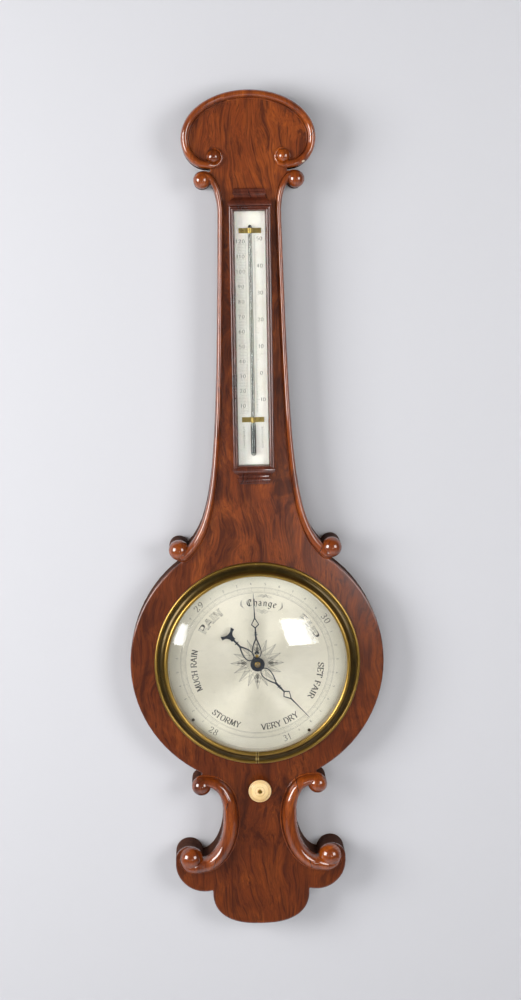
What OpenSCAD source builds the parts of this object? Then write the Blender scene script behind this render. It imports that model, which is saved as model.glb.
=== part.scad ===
// Wheel barometer with a scroll-carved case and a boxed thermometer.
// Millimetres. X to the right seen from the front, +Z up, the wall is the plane y = 0.
// The origin is the hole in the hanging plate. The front faces -Y.

/* [Case] */
// Thickness of the case from the wall plane to the veneered face
case_t = 35; // [34:0.5:44]
// Thickness of the veneered facing panel
panel_t = 3; // [2:0.5:4]
// Solid wood left between the facing panel and the tube channel
front_wall = 4; // [3:0.5:5]
// Radius of the round head that carries the dial
disc_r = 147; // [138:1:155]
// Drop from the hanging hole to the dial centre
dial_drop = 625.5; // [600:1:640]
// Half-width of the crest
crest_half_w = 75; // [70:1:82]
// Height of the crest above the hanging hole
crest_rise = 25.4; // [24:0.2:32]
// Drop from the hanging hole to the widest place of the crest
crest_wide_drop = 27; // [22:1:32]
// Drop from the hanging hole to the underside of the crest loops
crest_drop = 60.4; // [57:0.2:64]
// Half-width of the neck at its narrowest
neck_half_w = 35.6; // [34:0.2:40]
// Half-width of the tail under the lower scrolls
tail_half_w = 57; // [50:1:60]
// Drop from the hanging hole to the bottom of the tail
tail_drop = 940.6; // [930:1:960]

/* [Scroll mouldings] */
// Width of the roll round the crest
crest_roll_w = 10; // [8:0.2:12]
// Radius of the crest eyes
crest_eye_r = 6.6; // [5.6:0.2:8]
// Distance of a crest eye from the centre line
crest_eye_x = 39; // [36:0.5:42]
// Width of the side roll where it is thinnest
side_roll_w = 7.2; // [5.5:0.1:9]
// Radius of the upper bosses of the side rolls
side_top_r = 9.6; // [8:0.2:11]
// Radius of the lower bosses of the side rolls
side_foot_r = 11.5; // [9:0.5:13]
// Width of the lower scrolls at their middle
low_roll_w = 17.5; // [14:0.5:20]
// Radius of the upper bosses of the lower scrolls
low_top_r = 11; // [9:0.5:13]
// Radius of the lower bosses of the lower scrolls
low_foot_r = 13.5; // [11:0.5:16]
// Height of a roll as a share of its width
roll_lift = 0.66; // [0.5:0.02:0.8]

/* [Tube channel and back door] */
// Half-width of the channel for the siphon tube
channel_half_w = 24.5; // [23.5:0.5:25.5]
// Drop to the top of the channel
channel_top = 38; // [34:1:44]
// Drop to the bottom of the channel
channel_bottom = 918; // [915:1:924]
// Depth of the door's back face below the wall plane
door_recess = 2; // [1.8:0.1:2.6]
// Thickness of the back door
door_t = 3.5; // [3:0.1:4]
// Width of the ledge that the door covers round the channel
door_lap = 2; // [1:0.5:2.5]
// Gap between the door and its frame
door_gap = 0.6; // [0.4:0.1:0.9]
// Length of a hinge
hinge_len = 36; // [28:1:48]
// Outer radius of a hinge knuckle
knuckle_r = 1.5; // [1.3:0.1:1.7]
// Radius of a hinge pin
hinge_pin_r = 0.7; // [0.5:0.1:0.8]
// Length of the turn button
button_len = 17; // [14:1:20]
// Width of the turn button
button_w = 6.5; // [5:0.5:8]

/* [Dial and bezel] */
// Width of the bezel, from its clear opening to its outer edge
bezel_w = 15.6; // [14:0.2:18]
// Height of the bezel above the face
bezel_h = 11; // [10:0.5:14]
// How far the bezel covers the rim of the dial
sight_lap = 2.4; // [1.6:0.1:4]
// Radius of the dial plate
dial_r = 106; // [105:0.2:108]
// Thickness of the dial plate
dial_t = 1.5; // [1:0.1:1.8]
// Rise of the domed glass over its rim
dome_rise = 8; // [6:0.5:12]
// Thickness of the domed glass
glass_t = 1.8; // [1.4:0.1:2.2]
// Distance of the dial screws from the rim of the dial
dial_screw_in = 5.5; // [5:0.5:9]

/* [Hands] */
// Length of the indicator from its centre to its tip
indicator_len = 87; // [80:1:96]
// Length of the indicator's tail
tail_len = 55; // [48:1:60]
// Length of the set hand
set_len = 83.5; // [76:0.5:92]
// Thickness of a hand
hand_t = 0.7; // [0.5:0.1:1]
// Room between the dial and the set hand
hand_rise = 5; // [2:0.2:5.2]
// Radius of the indicator arbor
arbor_r = 1; // [0.8:0.1:1.2]
// Outer radius of the set-hand pipe
pipe_r = 2; // [1.8:0.1:2.3]
// Dial reading at rest, in inches of mercury
rest_inches = 30.78; // [28.2:0.01:30.9]
// Angle of one inch on the dial
inch_deg = 102.1; // [95:0.1:110]
// Clock angle of 29.5 inches
mid_deg = 6.5; // [0:0.5:12]
// Clock angle of the set hand at rest
set_deg = -2.5; // [-30:0.5:30]

/* [Set-hand gearing] */
// Number of teeth of a contrate wheel
wheel_teeth = 24; // [24:2:28]
// Number of teeth of a rod pinion
pinion_teeth = 12; // [12:1:13]
// Size of the teeth, pitch diameter over number of teeth
tooth_module = 0.75; // [0.7:0.01:0.78]
// Radius of the upright set rod
rod_r = 1.5; // [1.2:0.1:1.7]
// Drop from the hanging hole to the set knob
knob_drop = 774; // [765:1:785]
// Radius of the set knob
knob_r = 13.3; // [11:0.1:15]
// How far the set knob stands in front of the face
knob_reach = 18; // [16:0.5:22]

/* [Siphon tube] */
// Outer radius of the glass tube
tube_r = 4.2; // [4:0.1:4.6]
// Bore radius of the glass tube
bore_r = 2.9; // [2.6:0.1:3.2]
// Distance of the long limb from the centre line
long_limb_x = 18; // [17:0.5:19.5]
// Drop to the closed top of the long limb
tube_top = 46; // [42:1:52]
// Drop to the open mouth of the short limb
short_mouth = 792; // [788:1:800]
// Drop to the level where the two limbs join their bend
bend_drop = 893; // [886:1:896]
// Drop to the open mercury level at 29.5 inches
level_mid = 838; // [834:0.5:846]
// Length of the float
float_len = 14; // [10:1:16]
// Radius of the thread
thread_r = 0.25; // [0.15:0.05:0.4]
// Length of the counterweight
weight_len = 16; // [12:1:20]
// Drop from the dial centre to the foot of the counterweight
weight_drop = 88; // [82:1:96]

/* [Thermometer box] */
// Width of the box
box_w = 47; // [44:0.5:49]
// Width of the box's opening
box_open_w = 35; // [33:0.5:37]
// Drop to the top of the box's opening
box_open_top = 106; // [102:1:112]
// Drop to the bottom of the box's opening
box_open_bottom = 393.5; // [380:0.5:405]
// Height of the box above the face
box_h = 12; // [11.5:0.5:14]
// Length of a moulded end, past the frame
cornice_len = 18; // [14:0.5:20]
// Thickness of the scale plate
scale_t = 1.5; // [1:0.1:1.7]
// Radius of the thermometer tube
stem_r = 2.2; // [1.6:0.1:2.6]
// Radius of the thermometer bulb
bulb_r = 3; // [2.4:0.1:3.3]

/* [Hanging plate] */
// Radius of the hanging hole
hang_r = 3.5; // [3:0.1:4.5]
// Width of the hanging plate
hang_w = 30; // [26:1:34]
// Height of the hanging plate
hang_h = 36; // [32:1:40]
// Thickness of the hanging plate
hang_t = 1.5; // [1.2:0.1:2]

/* [Hidden] */
$fn = 64;

// Colours
rosewood = "#7a3f1f";
light_rosewood = "#a8612a";
dark_rosewood = "#4a2418";
pine = "#c79a62";
brass = "#b08d4a";
blued = "#2d3440";
silvered = "#c9c5b8";
bone = "#efe6c8";
glass = "#dfe8ea";
mercury = "#b9bcc0";
steel = "#8d8f92";

// Depths in front of the wall plane
face_d = case_t;
carcass_d = face_d - panel_t;
channel_d = carcass_d - front_wall;
door_in_d = door_recess + door_t;
fit = 0.05;
play = 0.3;
strap_t = 0.6;
tube_d = door_in_d + play + strap_t + 0.2 + tube_r;
groove_step = 2.6;
weight_d = tube_d + groove_step;

// Levels along the drop, negative downwards
dial_u = -dial_drop;
knob_u = -knob_drop;

// Pulley and siphon. Equal limbs share each inch, so the float moves half of it.
inch = 25.4;
pulley_pitch_r = inch / 2 / (inch_deg * PI / 180);
rest_off = rest_inches - 29.5;
rest_deg = mid_deg + rest_off * inch_deg;
open_level = -level_mid - rest_off * inch / 2;
top_level = open_level + rest_inches * inch;
travel_up = (31 - rest_inches) * inch / 2;
travel_down = (rest_inches - 28) * inch / 2;
limb_gap = long_limb_x + pulley_pitch_r;
bend_r = limb_gap / 2;
bend_x = pulley_pitch_r - bend_r;

// Gearing: the rod stands behind the two contrate wheels
wheel_pitch_r = wheel_teeth * tooth_module / 2;
pinion_pitch_r = pinion_teeth * tooth_module / 2;
tooth_out = 0.8 * tooth_module;
tooth_in = 1.15 * tooth_module;
tooth_face = 2;
wheel_disc_t = 1.4;
wheel_front_d = channel_d - 1;
shaft_back_d = wheel_front_d - wheel_disc_t - 1.4;
pitch_d = wheel_front_d - wheel_disc_t - tooth_in;
rod_d = pitch_d - pinion_pitch_r;
pinion_out_r = pinion_pitch_r + tooth_out;

// Bosses of the carved rolls
crest_eye_u = -(crest_drop - 13);
side_top_x = neck_half_w + 16.8;
side_top_u = -(crest_drop + 12.5);
side_foot_x = disc_r - 59;
side_foot_u = dial_u + disc_r - 12;
low_top_x = side_foot_x - 20;
low_top_u = dial_u - disc_r + 1.7;
low_foot_x = tail_half_w + 24.8;
low_foot_u = -(tail_drop - 83);
low_waist_x = neck_half_w - 1.2;
low_waist_u = low_top_u - 38.2;
low_turn_x = low_foot_x - low_foot_r * 0.875;

// Curves: each point is [x, up, width]
steps = 14;
function arc_pts(cx, cu, a, b, t0, t1, w0, w1, p = 2) = [
    for (i = [0:steps])
    let (k = i / steps, t = t0 + (t1 - t0) * k, c = cos(t), s = sin(t))
    [
        cx + a * sign(c) * pow(abs(c), 2 / p),
        cu + b * sign(s) * pow(abs(s), 2 / p),
        w0 + (w1 - w0) * k
    ]
];
function bezier_pt(p, t) =
    pow(1 - t, 3) * p[0] + 3 * pow(1 - t, 2) * t * p[1] + 3 * (1 - t) * t * t * p[2] + pow(t, 3) * p[3];
function tail(list) = [for (i = [1:len(list) - 1]) list[i]];
function heading(p, i) =
    let (a = p[max(i - 1, 0)], b = p[min(i + 1, len(p) - 1)], d = [b[0] - a[0], b[1] - a[1]])
    d / norm(d);
function side_of(p, i, k) =
    let (h = heading(p, i))
    [p[i][0] - h[1] * p[i][2] / 2 * k, p[i][1] + h[0] * p[i][2] / 2 * k];
function edge_of(p, k) = [for (i = [0:len(p) - 1]) side_of(p, i, k)];
function mirrored(p) = [for (i = [len(p) - 1:-1:0]) [-p[i][0], p[i][1]]];

// Right half of the crest roll, from the top of the arch into the eye
crest_in = crest_roll_w / 2;
crest_turn_x = crest_eye_x + 8;
crest_half = concat(
    arc_pts(0, -crest_wide_drop, crest_half_w - crest_in, crest_rise + crest_wide_drop - crest_in,
        90, 0, crest_roll_w, crest_roll_w + 0.4),
    tail(arc_pts(crest_turn_x, -crest_wide_drop, crest_half_w - crest_in - crest_turn_x,
        crest_drop - crest_wide_drop - crest_in, 0, -90, crest_roll_w + 0.4, crest_roll_w + 0.4)),
    [
        for (i = [0:steps])
        let (t = -62 - 208 * i / steps, s = 1 - i / steps, r = crest_eye_r + 1 + 2.2 * pow(s, 3))
        [
            crest_eye_x + r * cos(t),
            crest_eye_u + r * sin(t),
            3.6 + (crest_roll_w - 3.6) * pow(s, 3)
        ]
    ]
);
crest_path = concat(
    [for (i = [len(crest_half) - 1:-1:1]) [-crest_half[i][0], crest_half[i][1], crest_half[i][2]]],
    crest_half
);

// Right side roll, from the upper boss down the neck and out to the lower boss
neck_x = neck_half_w - side_roll_w / 2;
neck_u = side_top_u - 35.1;
neck_curve = [
    [neck_x, neck_u], [neck_x + 6.6, neck_u * 0.25 + side_foot_u * 0.75],
    [neck_x + 8.6, side_foot_u + 23.9], [side_foot_x - 6, side_foot_u - 7.5]
];
side_path = concat(
    arc_pts(side_top_x - 2.6, neck_u, side_top_x - 2.6 - neck_x, side_top_u + 5.4 - neck_u,
        78, 180, side_roll_w + 2.4, side_roll_w),
    [
        for (i = [1:22])
        let (t = i / 22, q = bezier_pt(neck_curve, t))
        [q[0], q[1], side_roll_w + 3.8 * pow(t, 2) + 3.2 * pow(t, 6)]
    ]
);

// Right lower scroll, from its upper boss round the waist to its lower boss
low_path = concat(
    arc_pts(low_top_x - 4, low_waist_u, low_top_x - 4 - low_waist_x,
        low_top_u + 5.6 - low_waist_u, 84, 180, 12, low_roll_w, 2.3),
    tail(arc_pts(low_turn_x, low_waist_u, low_turn_x - low_waist_x,
        low_waist_u - low_foot_u + low_foot_r * 0.7, 180, 272, low_roll_w, low_roll_w + 1))
);

// Everything below is drawn with x across, y up and z out from the wall
module upright() {
    rotate([90, 0, 0]) children();
}

module plate(d0, d1) {
    translate([0, 0, d0]) linear_extrude(d1 - d0) children();
}

module turned(x, u, d) {
    translate([x, u, d]) children();
}

module post(x, d, u0, u1, r) {
    translate([x, u0, d]) rotate([-90, 0, 0]) cylinder(h = u1 - u0, r = r);
}

module both_sides() {
    children();
    mirror([1, 0, 0]) children();
}

// A carved roll: a flat-bottomed half round that follows a path on the face
module roll(path) {
    m = 9;
    n = len(path);
    pts = [
        for (i = [0:n - 1])
        let (h = heading(path, i), w = path[i][2], lift = roll_lift * w + 1)
        for (j = [0:m - 1])
        let (a = 180 * j / (m - 1), v = pow(sin(a), 0.8) * lift)
        concat([path[i][0], path[i][1]] + [-h[1], h[0]] * w / 2 * cos(a), [face_d + max(v, 0)])
    ];
    skin = [
        for (i = [0:n - 2])
        for (j = [0:m - 1])
        let (k = (j + 1) % m, a = i * m + j, b = i * m + k, c = a + m, d = b + m)
        each [[a, d, b], [a, c, d]]
    ];
    first = [for (j = [0:m - 1]) j];
    last = [for (j = [m - 1:-1:0]) (n - 1) * m + j];
    polyhedron(points = pts, faces = concat(skin, [first, last]), convexity = 6);
}

// A boss at the end of a roll: a ball cut off flat at the face
module boss(x, u, r, sunk) {
    difference() {
        translate([x, u, face_d + sunk]) sphere(r = r, $fn = 48);
        translate([x - 2 * r, u - 2 * r, face_d - 4 * r]) cube([4 * r, 4 * r, 4 * r]);
    }
}

// The front outline of the case
module crest_shape() {
    polygon(edge_of(crest_path, 1));
}

// Both ends of a side roll and the upper end of a lower scroll lie wholly on the face
module neck_shape() {
    right = concat(
        [side_of(side_path, 0, -1)], edge_of(side_path, 1),
        [side_of(side_path, len(side_path) - 1, -1), [side_foot_x - 30, dial_u + 60]]
    );
    polygon(concat(right, mirrored(right)));
}

module lower_shape() {
    right = concat(
        [[low_top_x - 20, dial_u - 80], side_of(low_path, 0, -1)], edge_of(low_path, 1),
        [side_of(low_path, len(low_path) - 1, -1)]
    );
    polygon(concat(right, mirrored(right)));
}

module tail_shape() {
    margin_r = low_foot_r * 2.53;
    margin_x = low_foot_x - low_foot_r * 1.17;
    margin_u = low_foot_u - low_foot_r * 0.6;
    notch_u = margin_u - margin_r;
    p = 2.5;
    right = concat(
        [
            for (i = [0:14])
            let (t = 14 - 118 * i / 14)
            [margin_x + margin_r * cos(t), margin_u + margin_r * sin(t)]
        ],
        [
            for (i = [0:16])
            let (t = 90 * i / 16)
            [tail_half_w * pow(cos(t), 2 / p), notch_u - (tail_drop + notch_u) * pow(sin(t), 2 / p)]
        ]
    );
    polygon(concat(right, tail(mirrored(right))));
}

module throat_shape() {
    half_w = crest_eye_x + 4;
    translate([-half_w, side_top_u - 4]) square([2 * half_w, crest_eye_u - side_top_u + 16]);
}

module boss_shape(x, u, r) {
    translate([x, u]) circle(r = r);
}

module case_slab(d0, d1) {
    plate(d0, d1) translate([0, dial_u + 1]) circle(r = disc_r, $fn = 128);
    plate(d0, d1) crest_shape();
    plate(d0, d1) throat_shape();
    plate(d0, d1) neck_shape();
    plate(d0, d1) lower_shape();
    plate(d0, d1) tail_shape();
    both_sides() {
        plate(d0, d1) boss_shape(crest_eye_x, crest_eye_u, crest_eye_r);
        plate(d0, d1) boss_shape(side_top_x, side_top_u, side_top_r);
        plate(d0, d1) boss_shape(side_foot_x, side_foot_u, side_foot_r);
        plate(d0, d1) boss_shape(low_top_x, low_top_u, low_top_r);
        plate(d0, d1) boss_shape(low_foot_x + 2, low_foot_u - 2.6, low_foot_r * 1.2);
    }
}

// The back: channel, door seat, hinge and button pockets
door_half_w = channel_half_w + door_lap;
door_top = -(channel_top - door_lap);
door_bottom = -(channel_bottom + door_lap);
hinge_x = -(door_half_w + door_gap / 2);
hinge_u = [door_top - 74, dial_u + 20, door_bottom + 60];
pin_out = 0.5;
leaf_t = 0.9;
leaf_w = 6.5;
button_x = door_half_w + door_gap + 6;
button_u = side_foot_u + 22;
button_t = 1.2;
button_pivot_r = 1.4;
button_reach = button_len - button_w / 2;

module channel_cut() {
    translate([-channel_half_w, -channel_bottom, door_in_d - 1])
        cube([2 * channel_half_w, channel_bottom - channel_top, channel_d - door_in_d + 1]);
}

module door_seat() {
    half = door_half_w + door_gap;
    translate([-half, door_bottom - door_gap, -1])
        cube([2 * half, door_top - door_bottom + 2 * door_gap, door_in_d + 1]);
}

module hinge_barrels(r, extra) {
    half = hinge_len / 2 + extra;
    for (u = hinge_u) post(hinge_x, door_recess, u - half, u + half, r);
}

module leaf_pockets() {
    for (u = hinge_u)
        translate([hinge_x - knuckle_r - leaf_w - play, u - hinge_len / 2 - play, -1])
            cube([knuckle_r + leaf_w + 2 * play, hinge_len + 2 * play, door_recess + 1]);
}

module button_pocket() {
    translate([button_x, button_u, -1]) cylinder(h = door_recess + 1, r = button_reach + 1);
}

screw_spots = [for (sx = [-1, 1]) for (su = [-1, 1]) [sx * (hang_w / 2 - 4), su * (hang_h / 2 - 4)]];
hang_off = -2;

module case_body() {
    color(pine) upright() difference() {
        case_slab(0, carcass_d);
        channel_cut();
        door_seat();
        hinge_barrels(knuckle_r + play, pin_out + play);
        leaf_pockets();
        button_pocket();
        // Seat of the hanging plate, with room behind the hole for the wall screw
        translate([-hang_w / 2 - fit, hang_off - hang_h / 2 - fit, -1])
            cube([hang_w + 2 * fit, hang_h + 2 * fit, hang_t + 1]);
        turned(0, 0, -1) cylinder(h = 14, r = hang_r + 5);
        for (s = screw_spots) turned(s[0], s[1] + hang_off, -1) cylinder(h = 11, r = 1.2);
        // Bearing holes in the front wall
        turned(0, dial_u, channel_d - 1) cylinder(h = front_wall + 2, r = bush_r + fit);
        turned(0, knob_u, channel_d - 1) cylinder(h = front_wall + 2, r = bush_r + fit);
        // Pilot holes
        for (s = dial_screw_spots) turned(s[0], dial_u + s[1], carcass_d - 8) cylinder(h = 9, r = 0.9);
        for (s = cock_spots) turned(s[0], dial_u + s[1], channel_d - 1) cylinder(h = 3.6, r = 0.9);
        turned(button_x, button_u, door_recess - 1) cylinder(h = 11, r = 1.1);
    }
}

module front_panel() {
    color(rosewood) upright() difference() {
        case_slab(carcass_d, face_d);
        turned(0, dial_u, carcass_d - 1) cylinder(h = panel_t + 2, r = spigot_r + fit, $fn = 128);
        turned(0, knob_u, carcass_d - 1) cylinder(h = panel_t + 2, r = bush_r + fit);
        turned(0, dial_u + bezel_pin_r, carcass_d + 0.8) cylinder(h = panel_t, r = 0.7);
    }
}

module crest_scroll() {
    color(light_rosewood) upright() {
        roll(crest_path);
        both_sides() boss(crest_eye_x, crest_eye_u, crest_eye_r, 0.6);
    }
}

module side_scroll() {
    roll(side_path);
    boss(side_top_x, side_top_u, side_top_r, 0.6);
    boss(side_foot_x, side_foot_u, side_foot_r, 0.8);
}

module side_scroll_right() {
    color(light_rosewood) upright() side_scroll();
}

module side_scroll_left() {
    color(light_rosewood) mirror([1, 0, 0]) upright() side_scroll();
}

module lower_scroll() {
    roll(low_path);
    boss(low_top_x, low_top_u, low_top_r, 0.8);
    boss(low_foot_x, low_foot_u, low_foot_r, 1);
}

module lower_scroll_right() {
    color(light_rosewood) upright() lower_scroll();
}

module lower_scroll_left() {
    color(light_rosewood) mirror([1, 0, 0]) upright() lower_scroll();
}

// Thermometer box: four mitred sides with a stepped, bevelled section
rail_w = (box_w - box_open_w) / 2;
box_mid_u = -(box_open_top + box_open_bottom) / 2;
open_h = box_open_bottom - box_open_top;
stem_d = face_d + scale_t + bulb_r + 0.1;
pane_d = stem_d + bulb_r + 0.2;
pane_t = 1.2;
pane_lap = 1;
groove_in = rail_w - pane_lap - 0.2;
groove_low = pane_d - face_d - 0.1;
groove_high = groove_low + pane_t + 0.2;
rail_section = [
    [0, 0], [0, box_h - 3.6], [0.9, box_h - 2.8], [0.9, box_h - 0.8], [1.7, box_h],
    [rail_w - 2.4, box_h], [rail_w - 1.9, box_h - 0.9], [rail_w, box_h - 2.2],
    [rail_w, groove_high], [groove_in, groove_high], [groove_in, groove_low],
    [rail_w, groove_low], [rail_w, 0]
];

module rail(len) {
    intersection() {
        translate([0, -len / 2, face_d]) rotate([-90, 0, 0]) mirror([0, 1, 0])
            linear_extrude(len) polygon(rail_section);
        translate([0, 0, face_d - 1]) linear_extrude(box_h + 2)
            polygon([[0, -len / 2], [rail_w, -len / 2 + rail_w], [rail_w, len / 2 - rail_w], [0, len / 2]]);
    }
}

module thermometer_frame() {
    color(dark_rosewood) upright() translate([0, box_mid_u, 0]) {
        both_sides() translate([-box_w / 2, 0, 0]) rail(open_h + 2 * rail_w);
        for (k = [-1, 1])
            rotate(90 * k) translate([-open_h / 2 - rail_w, 0, 0]) rail(box_w);
    }
}

// Moulded ends: a cove and fillets, returned round the sides
function end_steps(len) = [
    [0, 0], [1, 0.5], [3.2, 0.5], [3.2, -0.5], [len * 0.24, -0.9], [len * 0.38, -3],
    [len * 0.48, -5.4], [len * 0.54, -6.8], [len * 0.66, -6.8], [len * 0.68, -4.6],
    [len * 0.76, -4.6], [len * 0.8, -5.6], [len * 0.97, -5.6], [len, -6]
];

module end_moulding() {
    len = cornice_len;
    pts = end_steps(len);
    across = concat(
        [for (p = pts) [box_w / 2 + p[1], p[0]]],
        [for (i = [len(pts) - 1:-1:0]) [-box_w / 2 - pts[i][1], pts[i][0]]]
    );
    out = concat([for (p = pts) [p[0], box_h + p[1]]], [[len, 0], [0, 0]]);
    intersection() {
        translate([0, 0, face_d]) linear_extrude(box_h + 2) polygon(across);
        translate([-box_w, 0, face_d]) rotate([0, 90, 0]) rotate([0, 0, 90])
            linear_extrude(2 * box_w) polygon(out);
    }
}

module thermometer_top_moulding() {
    color(dark_rosewood) upright() translate([0, -box_open_top + rail_w, 0]) end_moulding();
}

module thermometer_bottom_moulding() {
    color(dark_rosewood) upright() translate([0, -box_open_bottom - rail_w, 0])
        mirror([0, 1, 0]) end_moulding();
}

module thermometer_glass() {
    color(glass) upright() translate([-box_open_w / 2 - pane_lap, -box_open_bottom - pane_lap, pane_d])
        cube([box_open_w + 2 * pane_lap, open_h + 2 * pane_lap, pane_t]);
}

scale_w = box_open_w - 2 * play;
scale_top = -box_open_top - play;
scale_bottom = -box_open_bottom + play;

module thermometer_scale() {
    color(bone) upright() difference() {
        translate([-scale_w / 2, scale_bottom, face_d]) cube([scale_w, scale_top - scale_bottom, scale_t]);
        for (s = pin_spots) turned(s[0], s[1], face_d - 1) cylinder(h = scale_t + 2, r = 0.5);
    }
}

stem_top = -box_open_top - 17;
bulb_bottom = -box_open_bottom + 10.8;
bulb_top = bulb_bottom + 34.6;
clip_w = 5.8;
clip_u = [stem_top - 6.4, bulb_top + bulb_r + clip_w / 2 + 0.4];
clip_half_w = 12.6;

module thermometer_tube() {
    color(glass) upright() difference() {
        union() {
            post(0, stem_d, bulb_top, stem_top - stem_r, stem_r);
            translate([0, stem_top - stem_r, stem_d]) sphere(r = stem_r);
            post(0, stem_d, bulb_bottom + bulb_r, bulb_top, bulb_r);
            translate([0, bulb_bottom + bulb_r, stem_d]) sphere(r = bulb_r);
            translate([0, bulb_top, stem_d]) sphere(r = bulb_r);
        }
        post(0, stem_d, bulb_top - 1, stem_top - 4, 0.56);
        post(0, stem_d, bulb_bottom + bulb_r, bulb_top - 0.5, bulb_r - 0.7);
    }
}

module thermometer_mercury() {
    color(mercury) upright() {
        post(0, stem_d, bulb_top - 0.6, bulb_top + 86, 0.52);
        post(0, stem_d, bulb_bottom + bulb_r, bulb_top - 0.55, bulb_r - 0.72);
    }
}

module clip(u) {
    bed_r = stem_r + 0.03;
    wrap = bed_r + 0.5;
    base_d = face_d + scale_t;
    translate([0, u - clip_w / 2, 0]) rotate([-90, 0, 0]) mirror([0, 1, 0]) linear_extrude(clip_w)
        difference() {
            union() {
                translate([-clip_half_w, base_d]) square([2 * clip_half_w, 0.5]);
                translate([-wrap, base_d]) square([2 * wrap, stem_d - base_d]);
                translate([0, stem_d]) circle(r = wrap);
            }
            translate([0, stem_d]) circle(r = bed_r);
            translate([-bed_r, base_d - 1]) square([2 * bed_r, stem_d - base_d + 1]);
        }
}

module thermometer_clips() {
    color(brass) upright() difference() {
        for (u = clip_u) clip(u);
        for (u = clip_u) for (k = [-1, 1])
            turned(k * (clip_half_w - 3.4), u, face_d) cylinder(h = 4, r = 0.5);
    }
}

pin_spots = [for (u = clip_u) for (k = [-1, 1]) [k * (clip_half_w - 3.4), u]];

module scale_pins() {
    color(brass) upright() for (s = pin_spots) turned(s[0], s[1], face_d) {
        cylinder(h = scale_t + 0.6, r = 0.46);
        translate([0, 0, scale_t + 0.5]) cylinder(h = 0.5, r1 = 0.95, r2 = 0.6, $fn = 24);
    }
}

// Dial
dial_front_d = carcass_d + dial_t;
dial_screw_r = dial_r - dial_screw_in;
dial_screw_spots = [for (a = [-131, 144]) dial_screw_r * [sin(a), cos(a)]];
bush_r = 3.2;
bush_flange_r = 5;

module dial_plate() {
    color(silvered) upright() difference() {
        turned(0, dial_u, carcass_d) cylinder(h = dial_t, r = dial_r, $fn = 128);
        turned(0, dial_u, carcass_d - 1) cylinder(h = dial_t + 2, r = bush_r + fit);
        for (s = dial_screw_spots) turned(s[0], dial_u + s[1], carcass_d - 1) cylinder(h = dial_t + 2, r = 1);
    }
}

module screw(head_r, head_h, shank_r, shank_len) {
    difference() {
        union() {
            cylinder(h = head_h, r1 = head_r, r2 = head_r * 0.78, $fn = 32);
            translate([0, 0, -shank_len]) cylinder(h = shank_len + 0.1, r = shank_r, $fn = 24);
        }
        translate([-head_r, -0.25, head_h - 0.35]) cube([2 * head_r, 0.5, 1]);
    }
}

module dial_screws() {
    color(brass) upright() for (s = dial_screw_spots)
        turned(s[0], dial_u + s[1], dial_front_d) rotate(s[0]) screw(1.9, 0.8, 0.85, dial_t + 5);
}

module dial_bush() {
    color(brass) upright() turned(0, dial_u, 0) difference() {
        union() {
            translate([0, 0, channel_d - 0.4]) cylinder(h = dial_front_d + 0.9 - channel_d, r = bush_r);
            translate([0, 0, dial_front_d]) cylinder(h = 0.5, r = bush_flange_r);
        }
        translate([0, 0, channel_d - 1]) cylinder(h = 20, r = pipe_r + fit);
    }
}

// Bezel: spigot, foot bead, cove, inner bead and the rebate for the glass
sight_r = dial_r - sight_lap;
bezel_r = sight_r + bezel_w;
spigot_r = dial_r + 1.2;
glass_r = spigot_r - 0.9;
lip_drop = panel_t - dial_t - fit;
seat_h = bezel_h - 3.4;
ring_t = 1.2;
bezel_pin_r = bezel_r - 1.8;

function bead(cx, ch, r, t0, t1, n = 8) =
    [for (i = [0:n]) let (t = t0 + (t1 - t0) * i / n) [cx + r * cos(t), ch + r * sin(t)]];

module bezel_profile() {
    cove_top_r = sight_r + 4.6;
    cove_foot_r = bezel_r - 4;
    cove_h = bezel_h - 2.2 - 2.6;
    polygon(concat(
        [[bezel_r, 0]],
        bead(bezel_r - 1.8, 1.9, 1.8, 0, 160),
        [[cove_foot_r, 2.6]],
        [
            for (i = [1:8])
            let (t = 90 * i / 8)
            [cove_foot_r - (cove_foot_r - cove_top_r) * sin(t), 2.6 + cove_h * (1 - cos(t))]
        ],
        bead(sight_r + 2.2, bezel_h - 2.1, 2.1, 15, 165),
        [[sight_r, bezel_h - 2.6], [sight_r, seat_h], [glass_r + fit, seat_h]],
        [[glass_r + fit, -lip_drop], [spigot_r, -lip_drop], [spigot_r, 0]]
    ));
}

module bezel() {
    color(brass) upright() turned(0, dial_u, face_d) difference() {
        rotate_extrude($fn = 128) bezel_profile();
        translate([0, bezel_pin_r, -1]) cylinder(h = 8, r = 0.6);
    }
}

module bezel_pin() {
    color(brass) upright() turned(0, dial_u + bezel_pin_r, face_d) {
        translate([0, 0, -2]) cylinder(h = 5.8, r = 0.55, $fn = 24);
        translate([0, 0, 3.7]) cylinder(h = 0.6, r = 1.1, $fn = 24);
    }
}

dome_ball = (glass_r * glass_r + dome_rise * dome_rise) / (2 * dome_rise);
dome_centre_d = face_d + seat_h - fit - sqrt(dome_ball * dome_ball - sight_r * sight_r);
dome_half = asin(glass_r / dome_ball);
rim_back_d = dome_centre_d + dome_ball * cos(dome_half) - glass_t * 0.9;

module bezel_glass() {
    ball = dome_ball;
    inner = ball - glass_t;
    half = dome_half;
    color(glass) upright() turned(0, dial_u, dome_centre_d) rotate_extrude($fn = 128)
        polygon(concat(
            [for (i = [0:16]) let (t = half * i / 16) [ball * sin(t), ball * cos(t)]],
            [[glass_r, rim_back_d - dome_centre_d]],
            [for (i = [16:-1:0]) let (t = (half - 0.4) * i / 16) [inner * sin(t), inner * cos(t)]]
        ));
}

module glass_ring() {
    color(brass) upright() turned(0, dial_u, rim_back_d - 0.1 - ring_t) difference() {
        cylinder(h = ring_t, r = glass_r, $fn = 128);
        translate([0, 0, -1]) cylinder(h = ring_t + 2, r = glass_r - 1.6, $fn = 128);
    }
}

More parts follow.
